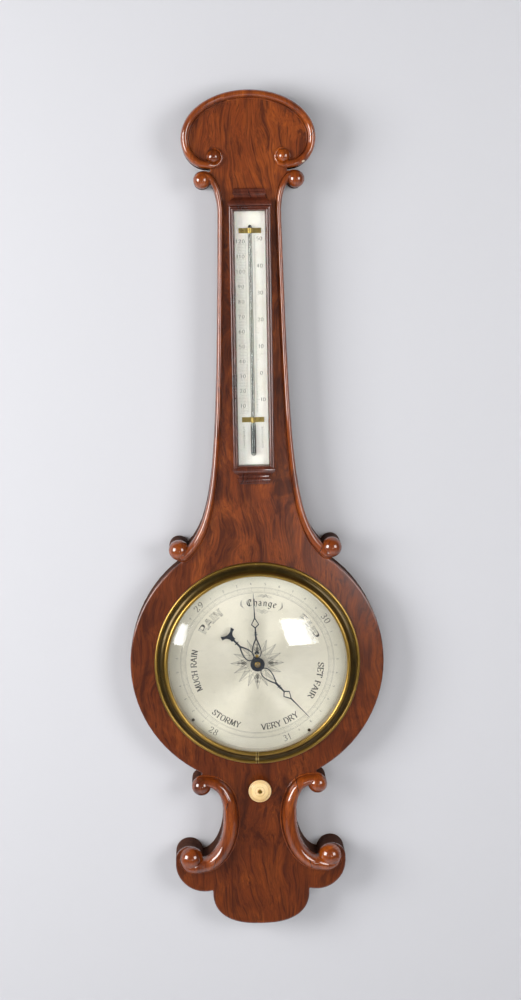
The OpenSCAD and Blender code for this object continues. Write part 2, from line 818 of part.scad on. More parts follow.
// Movement: pierced hands, arbor, pulley and the cock behind them
set_hand_d = dial_front_d + hand_rise;
indicator_d = set_hand_d + hand_t + 1.6;
cock_back_d = door_in_d + 0.7;
cock_t = 1.3;
cock_spots = [[-3.5, 38], [3.5, 38]];
pulley_rim_r = pulley_pitch_r + 1.3;
wound_r = pulley_pitch_r - 2 * thread_r - 0.02;

module teardrop(r0, r1, half_w) {
    n = 20;
    polygon([
        for (i = [0:2 * n - 1])
        let (t = 360 * i / (2 * n), k = (1 - cos(t)) / 2)
        [half_w * sin(t) * pow(1 - k, 0.55) * 1.25, r0 + (r1 - r0) * k]
    ]);
}

module pierced_drop(r0, r1, half_w, rim) {
    difference() {
        teardrop(r0, r1, half_w);
        teardrop(r0 + rim, r1 - 3 * rim, half_w - rim);
    }
}

module diamond(r0, r1, half_w) {
    polygon([[0, r0], [half_w, (r0 * 1.3 + r1 * 0.7) / 2], [0, r1], [-half_w, (r0 * 1.3 + r1 * 0.7) / 2]]);
}

module pierced_diamond(r0, r1, half_w, rim) {
    difference() {
        diamond(r0, r1, half_w);
        diamond(r0 + 2.4 * rim, r1 - 3.2 * rim, half_w - 1.5 * rim);
    }
}

module pointer(len, root_w) {
    scale(len / 88) {
        pierced_drop(7, 33.5, 6.2, 1.15);
        polygon([[-root_w, 31], [root_w, 31], [0.75, 46], [-0.75, 46]]);
        translate([0, 36.5]) square([4.8, 0.9], center = true);
        translate([0, 39]) square([3.4, 0.9], center = true);
        pierced_diamond(44, 58.5, 5, 0.8);
        polygon([[-0.8, 57], [0.8, 57], [0.22, 88], [-0.22, 88]]);
    }
}

module fishtail(len) {
    scale(len / 52) {
        pierced_drop(7, 29.5, 5.8, 1.15);
        polygon([[-1, 27], [1, 27], [1, 40], [-1, 40]]);
        translate([0, 33]) square([5, 0.9], center = true);
        difference() {
            translate([0, 46]) circle(r = 8.6);
            translate([0, 55.6]) circle(r = 9);
            for (k = [-1, 1]) translate([k * 8.6, 39.6]) circle(r = 6.2);
        }
    }
}

module indicator_hand() {
    color(blued) upright() turned(0, dial_u, indicator_d) rotate(-rest_deg) {
        linear_extrude(hand_t) difference() {
            union() {
                circle(r = 8.2);
                pointer(indicator_len, 1.3);
                rotate(180) fishtail(tail_len);
            }
            circle(r = arbor_r);
        }
    }
}

module set_hand() {
    color(blued) upright() turned(0, dial_u, set_hand_d) rotate(-set_deg) linear_extrude(hand_t)
        difference() {
            union() {
                circle(r = 6.6);
                translate([0, 5.5]) circle(r = 3);
                pointer(set_len, 1.1);
                translate([0, 13]) {
                    for (a = [-90, 0, 90]) rotate(a) translate([0, 1.5]) circle(r = 1.2);
                    translate([0, -4.5]) square([1, 8], center = true);
                }
            }
            circle(r = pipe_r);
        }
}

module indicator_arbor() {
    color(steel) upright() turned(0, dial_u, 0) {
        translate([0, 0, cock_back_d - 0.3])
            cylinder(h = indicator_d + hand_t + 1.9 - cock_back_d, r = arbor_r);
        translate([0, 0, indicator_d + hand_t]) cylinder(h = 1.3, r1 = 2.9, r2 = 2.2);
    }
}

module pulley_wheel() {
    rim = pulley_rim_r;
    groove = wound_r - thread_r - 0.03;
    half = 1.1;
    color(brass) upright() turned(0, dial_u, tube_d) rotate_extrude() polygon([
        [arbor_r, -half - 0.6], [2.6, -half - 0.6], [2.6, -half], [rim, -half], [rim, -half + 0.4],
        [groove, -0.3], [groove, 0.3], [rim, half - 0.4], [rim, groove_step - half + 0.4],
        [groove, groove_step - 0.3], [groove, groove_step + 0.3], [rim, groove_step + half - 0.4],
        [rim, groove_step + half], [2.6, groove_step + half], [2.6, groove_step + half + 1.2],
        [arbor_r, groove_step + half + 1.2]
    ]);
}

module pulley_thread() {
    color(bone) upright() for (d = [tube_d, weight_d]) turned(0, dial_u, d)
        rotate_extrude() translate([wound_r, 0]) circle(r = thread_r, $fn = 16);
}

module movement_cock() {
    top = 42;
    arm_w = 9;
    color(brass) upright() turned(0, dial_u, 0) difference() {
        union() {
            translate([0, 0, cock_back_d]) linear_extrude(cock_t) {
                translate([-arm_w / 2, 0]) square([arm_w, 30]);
                circle(r = arm_w / 2);
            }
            translate([-arm_w / 2, 28, cock_back_d]) cube([arm_w, 2.4, channel_d - cock_back_d]);
            translate([-7, 28, channel_d - 2]) cube([14, top - 28, 2]);
        }
        cylinder(h = 40, r = arbor_r + fit);
        for (s = cock_spots) translate([s[0], s[1], 0]) cylinder(h = 40, r = 1.1);
    }
}

module cock_screws() {
    color(steel) upright() for (s = cock_spots) turned(s[0], dial_u + s[1], channel_d - 2)
        mirror([0, 0, 1]) screw(1.9, 1, 0.85, 4.4);
}

// Gearing. The teeth of a wheel are milled radially in its back rim.
module contrate_wheel(u) {
    inner = wheel_pitch_r - tooth_face / 2;
    outer = wheel_pitch_r + tooth_face / 2;
    depth = tooth_out + tooth_in;
    pitch = PI * tooth_module;
    turned(0, u, 0) difference() {
        union() {
            translate([0, 0, wheel_front_d - wheel_disc_t]) cylinder(h = wheel_disc_t, r = outer);
            translate([0, 0, wheel_front_d - wheel_disc_t - depth]) difference() {
                cylinder(h = depth + 0.1, r = outer);
                translate([0, 0, -1]) cylinder(h = depth + 2, r = inner);
            }
            translate([0, 0, wheel_front_d - wheel_disc_t - 1]) cylinder(h = wheel_disc_t + 1, r = 3.6);
        }
        for (i = [0:wheel_teeth - 1]) rotate(360 * i / wheel_teeth)
            translate([0, inner - 1, wheel_front_d - wheel_disc_t - depth]) rotate([-90, 0, 0])
                linear_extrude(tooth_face + 2) polygon([
                    [-0.47 * pitch, 0.5], [0.47 * pitch, 0.5],
                    [0.2 * pitch, fit - depth], [-0.2 * pitch, fit - depth]
                ]);
        children();
    }
}

module set_hand_wheel() {
    color(brass) upright() contrate_wheel(dial_u) cylinder(h = 40, r = pipe_r);
}

module knob_wheel() {
    color(brass) upright() contrate_wheel(knob_u) cylinder(h = 40, r = spindle_r);
}

module set_hand_pipe() {
    color(brass) upright() turned(0, dial_u, 0) difference() {
        translate([0, 0, shaft_back_d]) cylinder(h = set_hand_d + hand_t + 0.4 - shaft_back_d, r = pipe_r);
        cylinder(h = 60, r = arbor_r + fit);
    }
}

module pinion() {
    tip = 0.17 * PI * tooth_module;
    root = 0.27 * PI * tooth_module;
    linear_extrude(tooth_face + 0.4) {
        circle(r = pinion_pitch_r - tooth_in + 0.12, $fn = 32);
        for (i = [0:pinion_teeth - 1]) rotate(180 + 360 * i / pinion_teeth) polygon([
            [-root, pinion_pitch_r - tooth_in - 0.2], [root, pinion_pitch_r - tooth_in - 0.2],
            [tip * 1.35, pinion_pitch_r], [tip * 0.6, pinion_out_r - 0.1],
            [-tip * 0.6, pinion_out_r - 0.1], [-tip * 1.35, pinion_pitch_r]
        ]);
    }
}

pinion_top_u = dial_u - wheel_pitch_r;
pinion_foot_u = knob_u + wheel_pitch_r;
bracket_u = [pinion_top_u - 16, pinion_foot_u + 16];
bracket_h = 4;
collar_h = 1.6;
collar_off = bracket_h / 2 + play + collar_h / 2;

module rod_pinions() {
    color(brass) upright() for (u = [pinion_top_u, pinion_foot_u])
        difference() {
            translate([0, u - tooth_face / 2 - 0.2, rod_d]) rotate([-90, 0, 0]) pinion();
            post(0, rod_d, u - 6, u + 6, rod_r);
        }
}

module set_rod() {
    color(brass) upright() {
        post(0, rod_d, pinion_foot_u - 1.4, pinion_top_u + 1.4, rod_r);
        for (u = [bracket_u[0] - collar_off, bracket_u[1] + collar_off])
            post(0, rod_d, u - collar_h / 2, u + collar_h / 2, rod_r + 1.2);
    }
}

module rod_brackets() {
    color(brass) upright() for (u = bracket_u) difference() {
        union() {
            translate([-4, u - bracket_h / 2, rod_d - rod_r - 1.6])
                cube([8, bracket_h, channel_d - rod_d + rod_r + 1.6]);
            translate([-9, u - bracket_h / 2, channel_d - 1.5]) cube([18, bracket_h, 1.5]);
        }
        post(0, rod_d, u - bracket_h, u + bracket_h, rod_r + fit);
        for (k = [-1, 1]) turned(k * 6.5, u, channel_d - 4) cylinder(h = 6, r = 0.8);
    }
}

// Set knob of turned bone, on a brass spindle
spindle_r = 2;
bush_lip = 1.5;
knob_gap = 1;

module bone_knob() {
    back = face_d + bush_lip + knob_gap;
    h = knob_reach - bush_lip - knob_gap;
    r = knob_r;
    color(bone) upright() turned(0, knob_u, back) rotate_extrude() polygon(concat(
        [[spindle_r, 0], [r * 0.42, 0], [r * 0.36, h * 0.12], [r * 0.36, h * 0.28], [r * 0.5, h * 0.36]],
        [[r * 0.9, h * 0.44]],
        bead(r - 1.4, h * 0.56, 1.4, -60, 40, 6),
        [[r * 0.86, h * 0.74], [r * 0.8, h * 0.72], [r * 0.76, h * 0.8], [r * 0.6, h * 0.88]],
        [[r * 0.54, h * 0.86], [r * 0.5, h * 0.93], [r * 0.3, h * 0.99], [spindle_r, h]]
    ));
}

module knob_spindle() {
    color(brass) upright() turned(0, knob_u, shaft_back_d)
        cylinder(h = face_d + knob_reach + 0.2 - shaft_back_d, r = spindle_r);
}

module knob_bush() {
    color(brass) upright() turned(0, knob_u, 0) difference() {
        union() {
            translate([0, 0, channel_d - 0.4]) cylinder(h = face_d - channel_d + 0.4 + bush_lip, r = bush_r);
            translate([0, 0, face_d]) cylinder(h = bush_lip, r1 = 6, r2 = 4.6);
        }
        cylinder(h = 60, r = spindle_r + fit);
    }
}

// Siphon tube: closed long limb, bend and open short limb. The bend is blown a little wider.
bend_swell = 0.15;

module u_tube(r, top_long, top_short) {
    post(-long_limb_x, tube_d, -bend_drop, top_long, r);
    post(pulley_pitch_r, tube_d, -bend_drop, top_short, r);
    translate([bend_x, -bend_drop, tube_d]) rotate(180) rotate_extrude(angle = 180)
        translate([bend_r, 0]) circle(r = r + bend_swell);
}

module siphon_tube() {
    color(glass) upright() difference() {
        union() {
            u_tube(tube_r, -tube_top - tube_r, -short_mouth);
            translate([-long_limb_x, -tube_top - tube_r, tube_d]) sphere(r = tube_r);
        }
        u_tube(bore_r, -tube_top - tube_r, -short_mouth + 1);
    }
}

skin = 0.02;
open_foot = -bend_drop + 4;
top_foot = top_level - 5 * inch;

module mercury_column() {
    color(mercury) upright() {
        post(-long_limb_x, tube_d, -bend_drop, top_foot, bore_r - skin);
        post(pulley_pitch_r, tube_d, -bend_drop, open_foot, bore_r - skin);
        translate([bend_x, -bend_drop, tube_d]) rotate(180) rotate_extrude(angle = 180)
            translate([bend_r, 0]) circle(r = bore_r + bend_swell - skin);
    }
}

module mercury_open() {
    color(mercury) upright() post(pulley_pitch_r, tube_d, open_foot + skin, open_level, bore_r - play);
}

module mercury_top() {
    color(mercury) upright() post(-long_limb_x, tube_d, top_foot + skin, top_level, bore_r - play);
}

module float() {
    color(glass) upright() translate([pulley_pitch_r, open_level + skin, tube_d]) rotate([-90, 0, 0])
        rotate_extrude() polygon([
            [0, 0], [bore_r - 1.2, 0.2], [bore_r - 0.6, 1.6], [bore_r - 0.6, float_len - 2],
            [0.8, float_len - 0.6], [thread_r, float_len], [0, float_len]
        ]);
}

module float_thread() {
    color(bone) upright()
        post(pulley_pitch_r, tube_d, open_level + skin + float_len, dial_u, thread_r);
}

weight_u = dial_u - weight_drop;
weight_r = 1.6;
weight_tube_r = weight_r + 1.5;
weight_tube_top = weight_u + 2 * weight_len + 2 * travel_up;
weight_tube_foot = weight_u - travel_down - 2 * weight_tube_r;

module counterweight() {
    color(glass) upright() translate([-pulley_pitch_r, weight_u, weight_d]) rotate([-90, 0, 0])
        rotate_extrude() polygon([
            [0, 0], [weight_r * 0.75, 0.3], [weight_r, 1.4],
            [weight_r, weight_len - 2.4], [0.7, weight_len - 0.5],
            [thread_r, weight_len], [0, weight_len]
        ]);
}

module counterweight_thread() {
    color(bone) upright() post(-pulley_pitch_r, weight_d, weight_u + weight_len, dial_u, thread_r);
}

module counterweight_tube() {
    color(glass) upright() difference() {
        post(-pulley_pitch_r, weight_d, weight_tube_foot, weight_tube_top, weight_tube_r);
        post(-pulley_pitch_r, weight_d, weight_tube_foot + 2, weight_tube_top + 1, weight_tube_r - 0.8);
    }
}

// Cork blocks that bed the tubes on the channel's front wall, and straps over them
block_h = 14;
bend_block_u = -bend_drop + 1.5 * block_h;
long_run = dial_u + tube_top;
block_u = concat([for (k = [0.076, 0.49, 0.887]) -tube_top + k * long_run], [bend_block_u]);

module bed(x0, x1, u, h) {
    translate([x0, u - h / 2, tube_d]) cube([x1 - x0, h, channel_d - tube_d]);
}

module tube_blocks() {
    color(pine) upright() difference() {
        union() {
            for (u = block_u) bed(-channel_half_w, -long_limb_x + 6, u, block_h);
            bed(pulley_pitch_r - 6, pulley_pitch_r + 7, bend_block_u, block_h);
            for (u = [weight_tube_top - block_h, weight_tube_foot + 1.5 * block_h])
                translate([-pulley_pitch_r - 4, u - 3, weight_d]) cube([5.5, 6, channel_d - weight_d]);
        }
        post(-long_limb_x, tube_d, -bend_drop, -tube_top, tube_r + fit);
        post(pulley_pitch_r, tube_d, -bend_drop, -short_mouth, tube_r + fit);
        post(-pulley_pitch_r, weight_d, weight_tube_foot, weight_tube_top, weight_tube_r + fit);
    }
}

module tube_straps() {
    spots = concat([for (u = block_u) [-long_limb_x, u]], [[pulley_pitch_r, bend_block_u]]);
    color(brass) upright() for (s = spots) translate([s[0], s[1] - 3, 0]) rotate([-90, 0, 0])
        mirror([0, 1, 0]) linear_extrude(6) difference() {
            union() {
                translate([0, tube_d]) circle(r = tube_r + fit + strap_t);
                translate([-tube_r - 1.6, tube_d - strap_t]) square([2 * tube_r + 3.2, strap_t]);
            }
            translate([0, tube_d]) circle(r = tube_r + fit);
            translate([-20, tube_d]) square([40, 20]);
        }
}

module hanging_plate() {
    color(brass) upright() difference() {
        translate([-hang_w / 2, hang_off - hang_h / 2, 0]) cube([hang_w, hang_h, hang_t]);
        turned(0, 0, -1) cylinder(h = hang_t + 2, r = hang_r);
        for (s = screw_spots) turned(s[0], s[1] + hang_off, -0.01) {
            cylinder(h = hang_t + 1, r = 1.3);
            cylinder(h = 1.3, r1 = 2.6, r2 = 1.3);
        }
    }
}

module hanging_screws() {
    color(steel) upright() for (s = screw_spots) turned(s[0], s[1] + hang_off, 0.1) difference() {
        union() {
            cylinder(h = 1.2, r1 = 2.45, r2 = 1.15);
            cylinder(h = 9, r = 1.1, $fn = 24);
        }
        translate([-3, -0.25, -1]) cube([6, 0.5, 1.4]);
    }
}

// Butt hinges: the two end knuckles are fixed to the case, the middle one to the door
knuckle_len = hinge_len / 3;

module knuckles(u, spots) {
    for (k = spots)
        post(hinge_x, door_recess, u - hinge_len / 2 + k * knuckle_len + 0.1,
            u - hinge_len / 2 + (k + 1) * knuckle_len - 0.1, knuckle_r);
}

module leaf(u, k0, k1, dir) {
    translate([hinge_x, u - hinge_len / 2 + k0 * knuckle_len + 0.1, door_recess - leaf_t])
        scale([dir, 1, 1]) cube([knuckle_r + leaf_w, (k1 - k0) * knuckle_len - 0.2, leaf_t]);
}

module hinge_plates() {
    color(brass) upright() for (u = hinge_u) difference() {
        union() {
            knuckles(u, [0, 2]);
            leaf(u, 0, 1, -1);
            leaf(u, 2, 3, -1);
            translate([hinge_x - knuckle_r - leaf_w, u - hinge_len / 2 + 0.1, door_recess - leaf_t])
                cube([leaf_w - 0.4, hinge_len - 0.2, leaf_t]);
        }
        post(hinge_x, door_recess, u - hinge_len, u + hinge_len, hinge_pin_r);
    }
}

module door_hinge_leaves() {
    color(brass) upright() for (u = hinge_u) difference() {
        union() {
            knuckles(u, [1]);
            leaf(u, 1, 2, 1);
            translate([hinge_x + knuckle_r + 0.4, u - hinge_len / 2 + 0.1, door_recess - leaf_t])
                cube([leaf_w - 0.4, hinge_len - 0.2, leaf_t]);
        }
        post(hinge_x, door_recess, u - hinge_len, u + hinge_len, hinge_pin_r + fit);
    }
}

module hinge_pins() {
    color(steel) upright() for (u = hinge_u)
        post(hinge_x, door_recess, u - hinge_len / 2 - pin_out, u + hinge_len / 2 + pin_out, hinge_pin_r);
}

module back_door() {
    color(pine) upright() difference() {
        translate([-door_half_w, door_bottom, door_recess])
            cube([2 * door_half_w, door_top - door_bottom, door_t]);
        hinge_barrels(knuckle_r + play, pin_out + play);
    }
}

module turn_button() {
    color(brass) upright() translate([button_x, button_u, door_recess - play - button_t])
        linear_extrude(button_t) difference() {
            union() {
                circle(r = button_w / 2);
                translate([-button_w / 2, 0]) square([button_w, button_reach - button_w / 2]);
                translate([0, button_reach - button_w / 2]) circle(r = button_w / 2);
            }
            circle(r = button_pivot_r + fit);
        }
}

module button_screw() {
    color(steel) upright() turned(button_x, button_u, 0) difference() {
        union() {
            translate([0, 0, 0.05]) cylinder(h = 0.4, r = 2.4);
            translate([0, 0, 0.4]) cylinder(h = door_recess - 0.4, r = button_pivot_r);
            translate([0, 0, 0.4]) cylinder(h = 10, r = 1.05, $fn = 24);
        }
        translate([-3, -0.3, -1]) cube([6, 0.6, 1.3]);
    }
}

case_body();
front_panel();
crest_scroll();
side_scroll_right();
side_scroll_left();
lower_scroll_right();
lower_scroll_left();
thermometer_frame();
thermometer_top_moulding();
thermometer_bottom_moulding();
thermometer_glass();
thermometer_scale();
thermometer_tube();
thermometer_mercury();
thermometer_clips();
scale_pins();
dial_plate();
dial_screws();
dial_bush();
bezel();
bezel_glass();
glass_ring();
bezel_pin();
movement_cock();
cock_screws();
siphon_tube();
mercury_column();
counterweight_tube();
tube_blocks();
tube_straps();
hanging_plate();
hanging_screws();
hinge_plates();
hinge_pins();
rod_brackets();
knob_bush();
button_screw();
indicator_hand();
indicator_arbor();
pulley_wheel();
pulley_thread();
set_hand();
set_hand_pipe();
set_hand_wheel();
set_rod();
rod_pinions();
bone_knob();
knob_spindle();
knob_wheel();
float();
float_thread();
mercury_open();
counterweight();
counterweight_thread();
mercury_top();
back_door();
door_hinge_leaves();
turn_button();
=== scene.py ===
"""Looks of the wheel barometer: carving, veneer, brass, dial lettering, glass and studio light.

Shapes are given in millimetres as x (right), u (up) and d (out from the wall).
In the row frame that is +X, +Z and -Y, in metres.
"""

import math
from functools import cached_property

import bmesh
import bpy
from mathutils import Matrix, Vector
from mathutils.geometry import tessellate_polygon


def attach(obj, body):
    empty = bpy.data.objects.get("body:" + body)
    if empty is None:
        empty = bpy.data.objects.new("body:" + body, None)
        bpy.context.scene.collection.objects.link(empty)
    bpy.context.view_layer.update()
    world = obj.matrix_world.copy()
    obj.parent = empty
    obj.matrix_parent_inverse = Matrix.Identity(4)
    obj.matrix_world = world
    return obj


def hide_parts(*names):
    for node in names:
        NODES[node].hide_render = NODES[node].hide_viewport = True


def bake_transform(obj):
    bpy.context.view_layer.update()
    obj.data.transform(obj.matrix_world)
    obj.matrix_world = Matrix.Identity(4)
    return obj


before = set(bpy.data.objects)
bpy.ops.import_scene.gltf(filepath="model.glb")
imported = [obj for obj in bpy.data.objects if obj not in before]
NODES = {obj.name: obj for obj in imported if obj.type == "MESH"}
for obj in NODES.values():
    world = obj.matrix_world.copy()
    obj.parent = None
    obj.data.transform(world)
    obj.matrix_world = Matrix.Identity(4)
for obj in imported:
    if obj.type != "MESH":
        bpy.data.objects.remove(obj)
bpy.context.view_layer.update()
MM = 0.001

# Depths out from the wall
FACE, CARCASS, DIAL_FRONT, SCALE_FRONT = 35.0, 32.0, 33.5, 36.5
SET_HAND_D, INDICATOR_D = 38.5, 40.8
# Heights of the dial's and the knob's axis, and radii round them
DIAL_U, KNOB_U = -625.5, -774.0
BUSH_R, DIAL_R, SIGHT_R, GLASS_R, BEZEL_R, DISC_R = 3.25, 106.0, 103.6, 106.35, 119.2, 147.0
KNOB_R, KNOB_HOLE_R = 13.3, 2.0
BEZEL_H, KNOB_H = 11.0, 15.5
# Where the set hand points, and its ring
SET_DEG, SET_RING_R = -2.5, 9.4


# ------------------------------------------------------------------ colours and materials


def srgb(r, g, b):
    """A colour written as 0-255 sRGB, as the linear RGBA that Blender wants."""
    def lin(c):
        c /= 255
        return c / 12.92 if c <= 0.04045 else ((c + 0.055) / 1.055) ** 2.4
    return (lin(r), lin(g), lin(b), 1.0)


class Value:
    """The output of a node. Sums and comparisons of values become Math nodes."""

    def __init__(self, graph, socket):
        self.graph, self.socket = graph, socket

    def __add__(self, other):
        return self.graph.calc("ADD", self, other)

    def __sub__(self, other):
        return self.graph.calc("SUBTRACT", self, other)

    def __mul__(self, other):
        return self.graph.calc("MULTIPLY", self, other)

    def __truediv__(self, other):
        return self.graph.calc("DIVIDE", self, other)

    def __lt__(self, other):
        return self.graph.calc("LESS_THAN", self, other)

    def __gt__(self, other):
        return self.graph.calc("GREATER_THAN", self, other)

    def __abs__(self):
        return self.graph.calc("ABSOLUTE", self)


class Graph:
    """A node tree that is built node by node."""

    def __init__(self, tree):
        self.tree = tree

    def node(self, kind, inputs=None, **settings):
        n = self.tree.nodes.new("ShaderNode" + kind)
        for key, value in settings.items():
            setattr(n, key, value)
        for key, value in (inputs or {}).items():
            self.put(n.inputs[key], value)
        return n

    def put(self, socket, value):
        if isinstance(value, Value):
            self.tree.links.new(value.socket, socket)
        else:
            socket.default_value = value

    def out(self, kind, inputs=None, out=0, **settings):
        """A new node's output, by its name or place."""
        return Value(self, self.node(kind, inputs, **settings).outputs[out])

    def calc(self, what, a, b=0.0):
        return self.out("Math", {0: a, 1: b}, operation=what)

    def axis(self, name, vector=None):
        return self.out("SeparateXYZ", {0: vector or self.coords}, name)

    def rays(self):
        """Whether a ray comes from the camera, from a mirror or through glass."""
        path, kinds = self.node("LightPath").outputs, ("Camera", "Glossy", "Transmission")
        return [Value(self, path[f"Is {kind} Ray"]) for kind in kinds]


class Look(Graph):
    """A procedural material, built round one Principled shader."""

    def __init__(self, name, **fixed):
        self.material = bpy.data.materials.new(name)
        self.material.use_nodes = True
        super().__init__(self.material.node_tree)
        self.shader = self.tree.nodes["Principled BSDF"]
        for socket, value in fixed.items():
            self.set(socket.replace("_", " "), value)

    @cached_property
    def coords(self):
        return self.out("TexCoord", out="Object")

    def set(self, socket, value):
        self.put(self.shader.inputs[socket], value)

    def surface(self, colour, roughness, normal):
        self.set("Base Color", colour)
        self.set("Roughness", roughness)
        self.set("Normal", normal)
        return self

    def show(self, result):
        """Puts another shader than the Principled one on the surface."""
        ending = next(n for n in self.tree.nodes if n.type == "OUTPUT_MATERIAL")
        self.put(ending.inputs["Surface"], result)

    def stretch(self, scale, vector=None, turn=(0, 0, 0)):
        scale = scale if isinstance(scale, tuple) else (scale,) * 3
        return self.out("Mapping", {"Vector": vector or self.coords, "Scale": scale,
                                    "Rotation": turn})

    def noise(self, scale, detail, rough=0.55, bend=0.0, vector=None, turn=(0, 0, 0), out="Fac"):
        """Noise on stretched coordinates, or on a vector that is given in place of the scale."""
        where = scale if isinstance(scale, Value) else self.stretch(scale, vector, turn)
        return self.out("TexNoise", {"Vector": where, "Scale": 1.0, "Detail": detail,
                                     "Roughness": rough, "Distortion": bend}, out)

    def ramp(self, value, *stops):
        """Stops are (position, colour), or (position, number) for a grey."""
        n = self.node("ValToRGB", {0: value})
        band = n.color_ramp.elements
        while len(band) < len(stops):
            band.new(0.5)
        for e, (where, colour) in zip(band, stops):
            e.position = where
            e.color = colour if isinstance(colour, tuple) else (colour, colour, colour, 1)
        return Value(self, n.outputs[0])

    def mix(self, share, a, b):
        return self.out("Mix", {0: share, 6: a, 7: b}, 2, data_type="RGBA")

    def bump(self, height, distance, strength=1.0, base=None):
        """Distance in millimetres."""
        inputs = {"Height": height, "Distance": distance * MM, "Strength": strength}
        return self.out("Bump", {**inputs, "Normal": base} if base else inputs)

    def from_axis(self, u):
        """Coordinates from an axis out of the wall at height u: the vector, its x and its z."""
        hub = self.out("VectorMath", {0: self.coords, 1: (0, 0, u * MM)}, operation="SUBTRACT")
        return hub, self.axis("X", hub), self.axis("Z", hub)

    def rings(self, radius, scale, angle=None):
        """A vector that makes noise run in rings."""
        parts = {0: radius * scale}
        if angle:
            parts[1] = angle
        return self.out("CombineXYZ", parts)


# The second colour darkens the veneer towards the bottom and paints shade on the crest
PORE, DARKER_VENEER_AND_SHADE, BARE = srgb(30, 12, 6), srgb(48, 14, 1), srgb(214, 196, 168)


def wood(name, dark, mid, light, gloss=1.0, figure=0.5, streak=1.0, coat_rough=0.1, relief=1.0,
         shade=0.0, marks=(), coat_ior=1.6, dull=0.0):
    """Varnished rosewood or another wood: streaks along +Z, fine fibres, open pores, slight wear.

    shade darkens the disc and the tail, and, less, the crest as painted shade.
    marks are joints, cracks and chips: x, u, clock, length, width, colour.
    """
    w = Look(name, Coat_Weight=gloss, Coat_Roughness=coat_rough, Coat_IOR=coat_ior,
             Specular_IOR_Level=0.12)
    sway = w.out("VectorMath", {0: w.noise((11, 9, 5), 3, 0.5, out="Color"), 3: 0.085},
                 operation="SCALE")
    bent = w.out("VectorMath", {0: w.coords, 1: sway}, operation="ADD")
    broad = w.noise((74, 60, 6), 5, 0.62, 0.7, bent)
    band = w.noise((260, 220, 11), 4, 0.62, 0.4, bent)
    fibre = w.noise((900, 900, 26), 3, 0.6, vector=bent)
    clouds = w.noise((22, 16, 13), 4, 0.55, 1.4, bent)
    tone = w.ramp(broad, (0.34, dark), (0.48, mid), (0.56, mid), (0.72, light))
    tone = w.mix(w.ramp(clouds, (0.46, 0.0), (0.66, figure)), tone, light)
    lines = w.ramp(band, (0.36, 1.0), (0.46, 0.25), (0.58, 0.0))
    tone = w.mix(lines * (0.85 * streak), tone, dark)
    tone = w.mix(w.ramp(fibre, (0.38, 0.45), (0.60, 0.0)), tone, dark)
    pores = w.ramp(w.noise((1500, 1500, 55), 2, 0.5, vector=bent), (0.60, 0.0), (0.68, 1.0))
    tone = w.mix(pores * 0.35, tone, PORE)
    # Darker towards the bottom, over the disc and the tail; the crest is darkened a little as painted shade where
    # the lamps fall strongest
    if shade:
        height = w.axis("Z") + (clouds - 0.5) * 0.3
        tone = w.mix(w.ramp(height + 1.0, (0.46, shade), (0.66, 0.0)), tone, DARKER_VENEER_AND_SHADE)
        tone = w.mix(w.ramp(w.axis("Z") + 1.0, (0.84, 0.0), (0.92, 0.35 * shade)), tone, DARKER_VENEER_AND_SHADE)
    for x, u, clock, length, width, colour in marks:
        spot = w.out("Mapping", {"Vector": w.coords, "Location": (-x * MM, 0, -u * MM)})
        spot = w.out("Mapping", {"Vector": spot, "Rotation": (0, -math.radians(clock), 0)})
        across = abs(w.axis("X", spot) + (broad - 0.5) * 0.004)
        near = (across < width * MM / 2) * (abs(w.axis("Z", spot)) < length * MM / 2)
        tone = w.mix(near, tone, colour)
    rub = w.noise(60, 5, 0.65)
    low = w.bump(w.noise((70, 70, 30), 2, 0.5), 0.12 * relief, 0.5)
    w.set("Coat Normal", w.bump(pores, 0.012 * relief, 0.35, low))
    return w.surface(tone, w.ramp(w.mix(0.5, rub, fibre), (0.3, 0.34 + dull), (0.7, 0.55 + dull)),
                     w.bump(fibre - pores, 0.03, 0.5, low))


def metal(name, colour, tarnish, rough=0.3, worn=0.5, metallic=1.0):
    """Old metal: patches of tarnish, fine scratches and a changing polish."""
    m = Look(name, Metallic=metallic)
    patch = m.noise(55, 6, 0.62, 0.4)
    spots = m.noise(420, 3, 0.6)
    scratches = m.noise((1800, 1800, 240), 2, 0.5, turn=(0.4, 0.7, 0.2))
    share = (m.ramp(patch, (0.38, 0.05), (0.66, 0.95)) + spots * 0.25) * worn
    polish = m.ramp(patch, (0.3, rough * 0.75), (0.7, rough * 1.5)) + scratches * 0.08
    return m.surface(m.mix(share, colour, tarnish), polish,
                     m.bump(m.mix(0.5, spots, scratches), 0.012, 0.5))


def silvered():
    """Silvered brass: a warm satin that is spun round the centre, with faint tarnish."""
    s = Look("silvered_dial", Metallic=0.5, Anisotropic=0.8)
    hub, x, z = s.from_axis(DIAL_U)
    radius = s.out("VectorMath", {0: hub}, "Value", operation="LENGTH")
    spun = s.noise(s.rings(radius, 1500, s.calc("ARCTAN2", x, z) * 1.6), 3, 0.6)
    cloud = s.noise(22, 4, 0.6)
    speck = s.noise(700, 2, 0.5)
    tone = s.mix(s.ramp(cloud, (0.38, 0.0), (0.68, 1.0)), srgb(244, 237, 221), srgb(233, 226, 208))
    # Greyer towards the rim, next to the bezel
    tone = s.mix(s.ramp(radius * 9.0, (0.80, 0.0), (0.95, 0.35)), tone, srgb(212, 212, 196))
    tone = s.mix(s.ramp(speck, (0.70, 0.0), (0.78, 0.35)), tone, srgb(150, 138, 110))
    s.set("Tangent", s.out("Tangent", direction_type="RADIAL", axis="Y"))
    return s.surface(tone, s.ramp(s.mix(0.6, cloud, spun), (0.3, 0.36), (0.7, 0.50)),
                     s.bump(spun, 0.006, 0.5))


def ink(name, colour, faded):
    """Wax or ink in engraved lines, worn thin in places."""
    i = Look(name, Metallic=0.0)
    wear = i.noise(160, 4, 0.65)
    return i.surface(i.mix(i.ramp(wear, (0.42, 0.0), (0.72, 0.75)), colour, faded),
                     i.ramp(wear, (0.3, 0.45), (0.7, 0.7)), i.bump(wear, 0.01, 0.4))


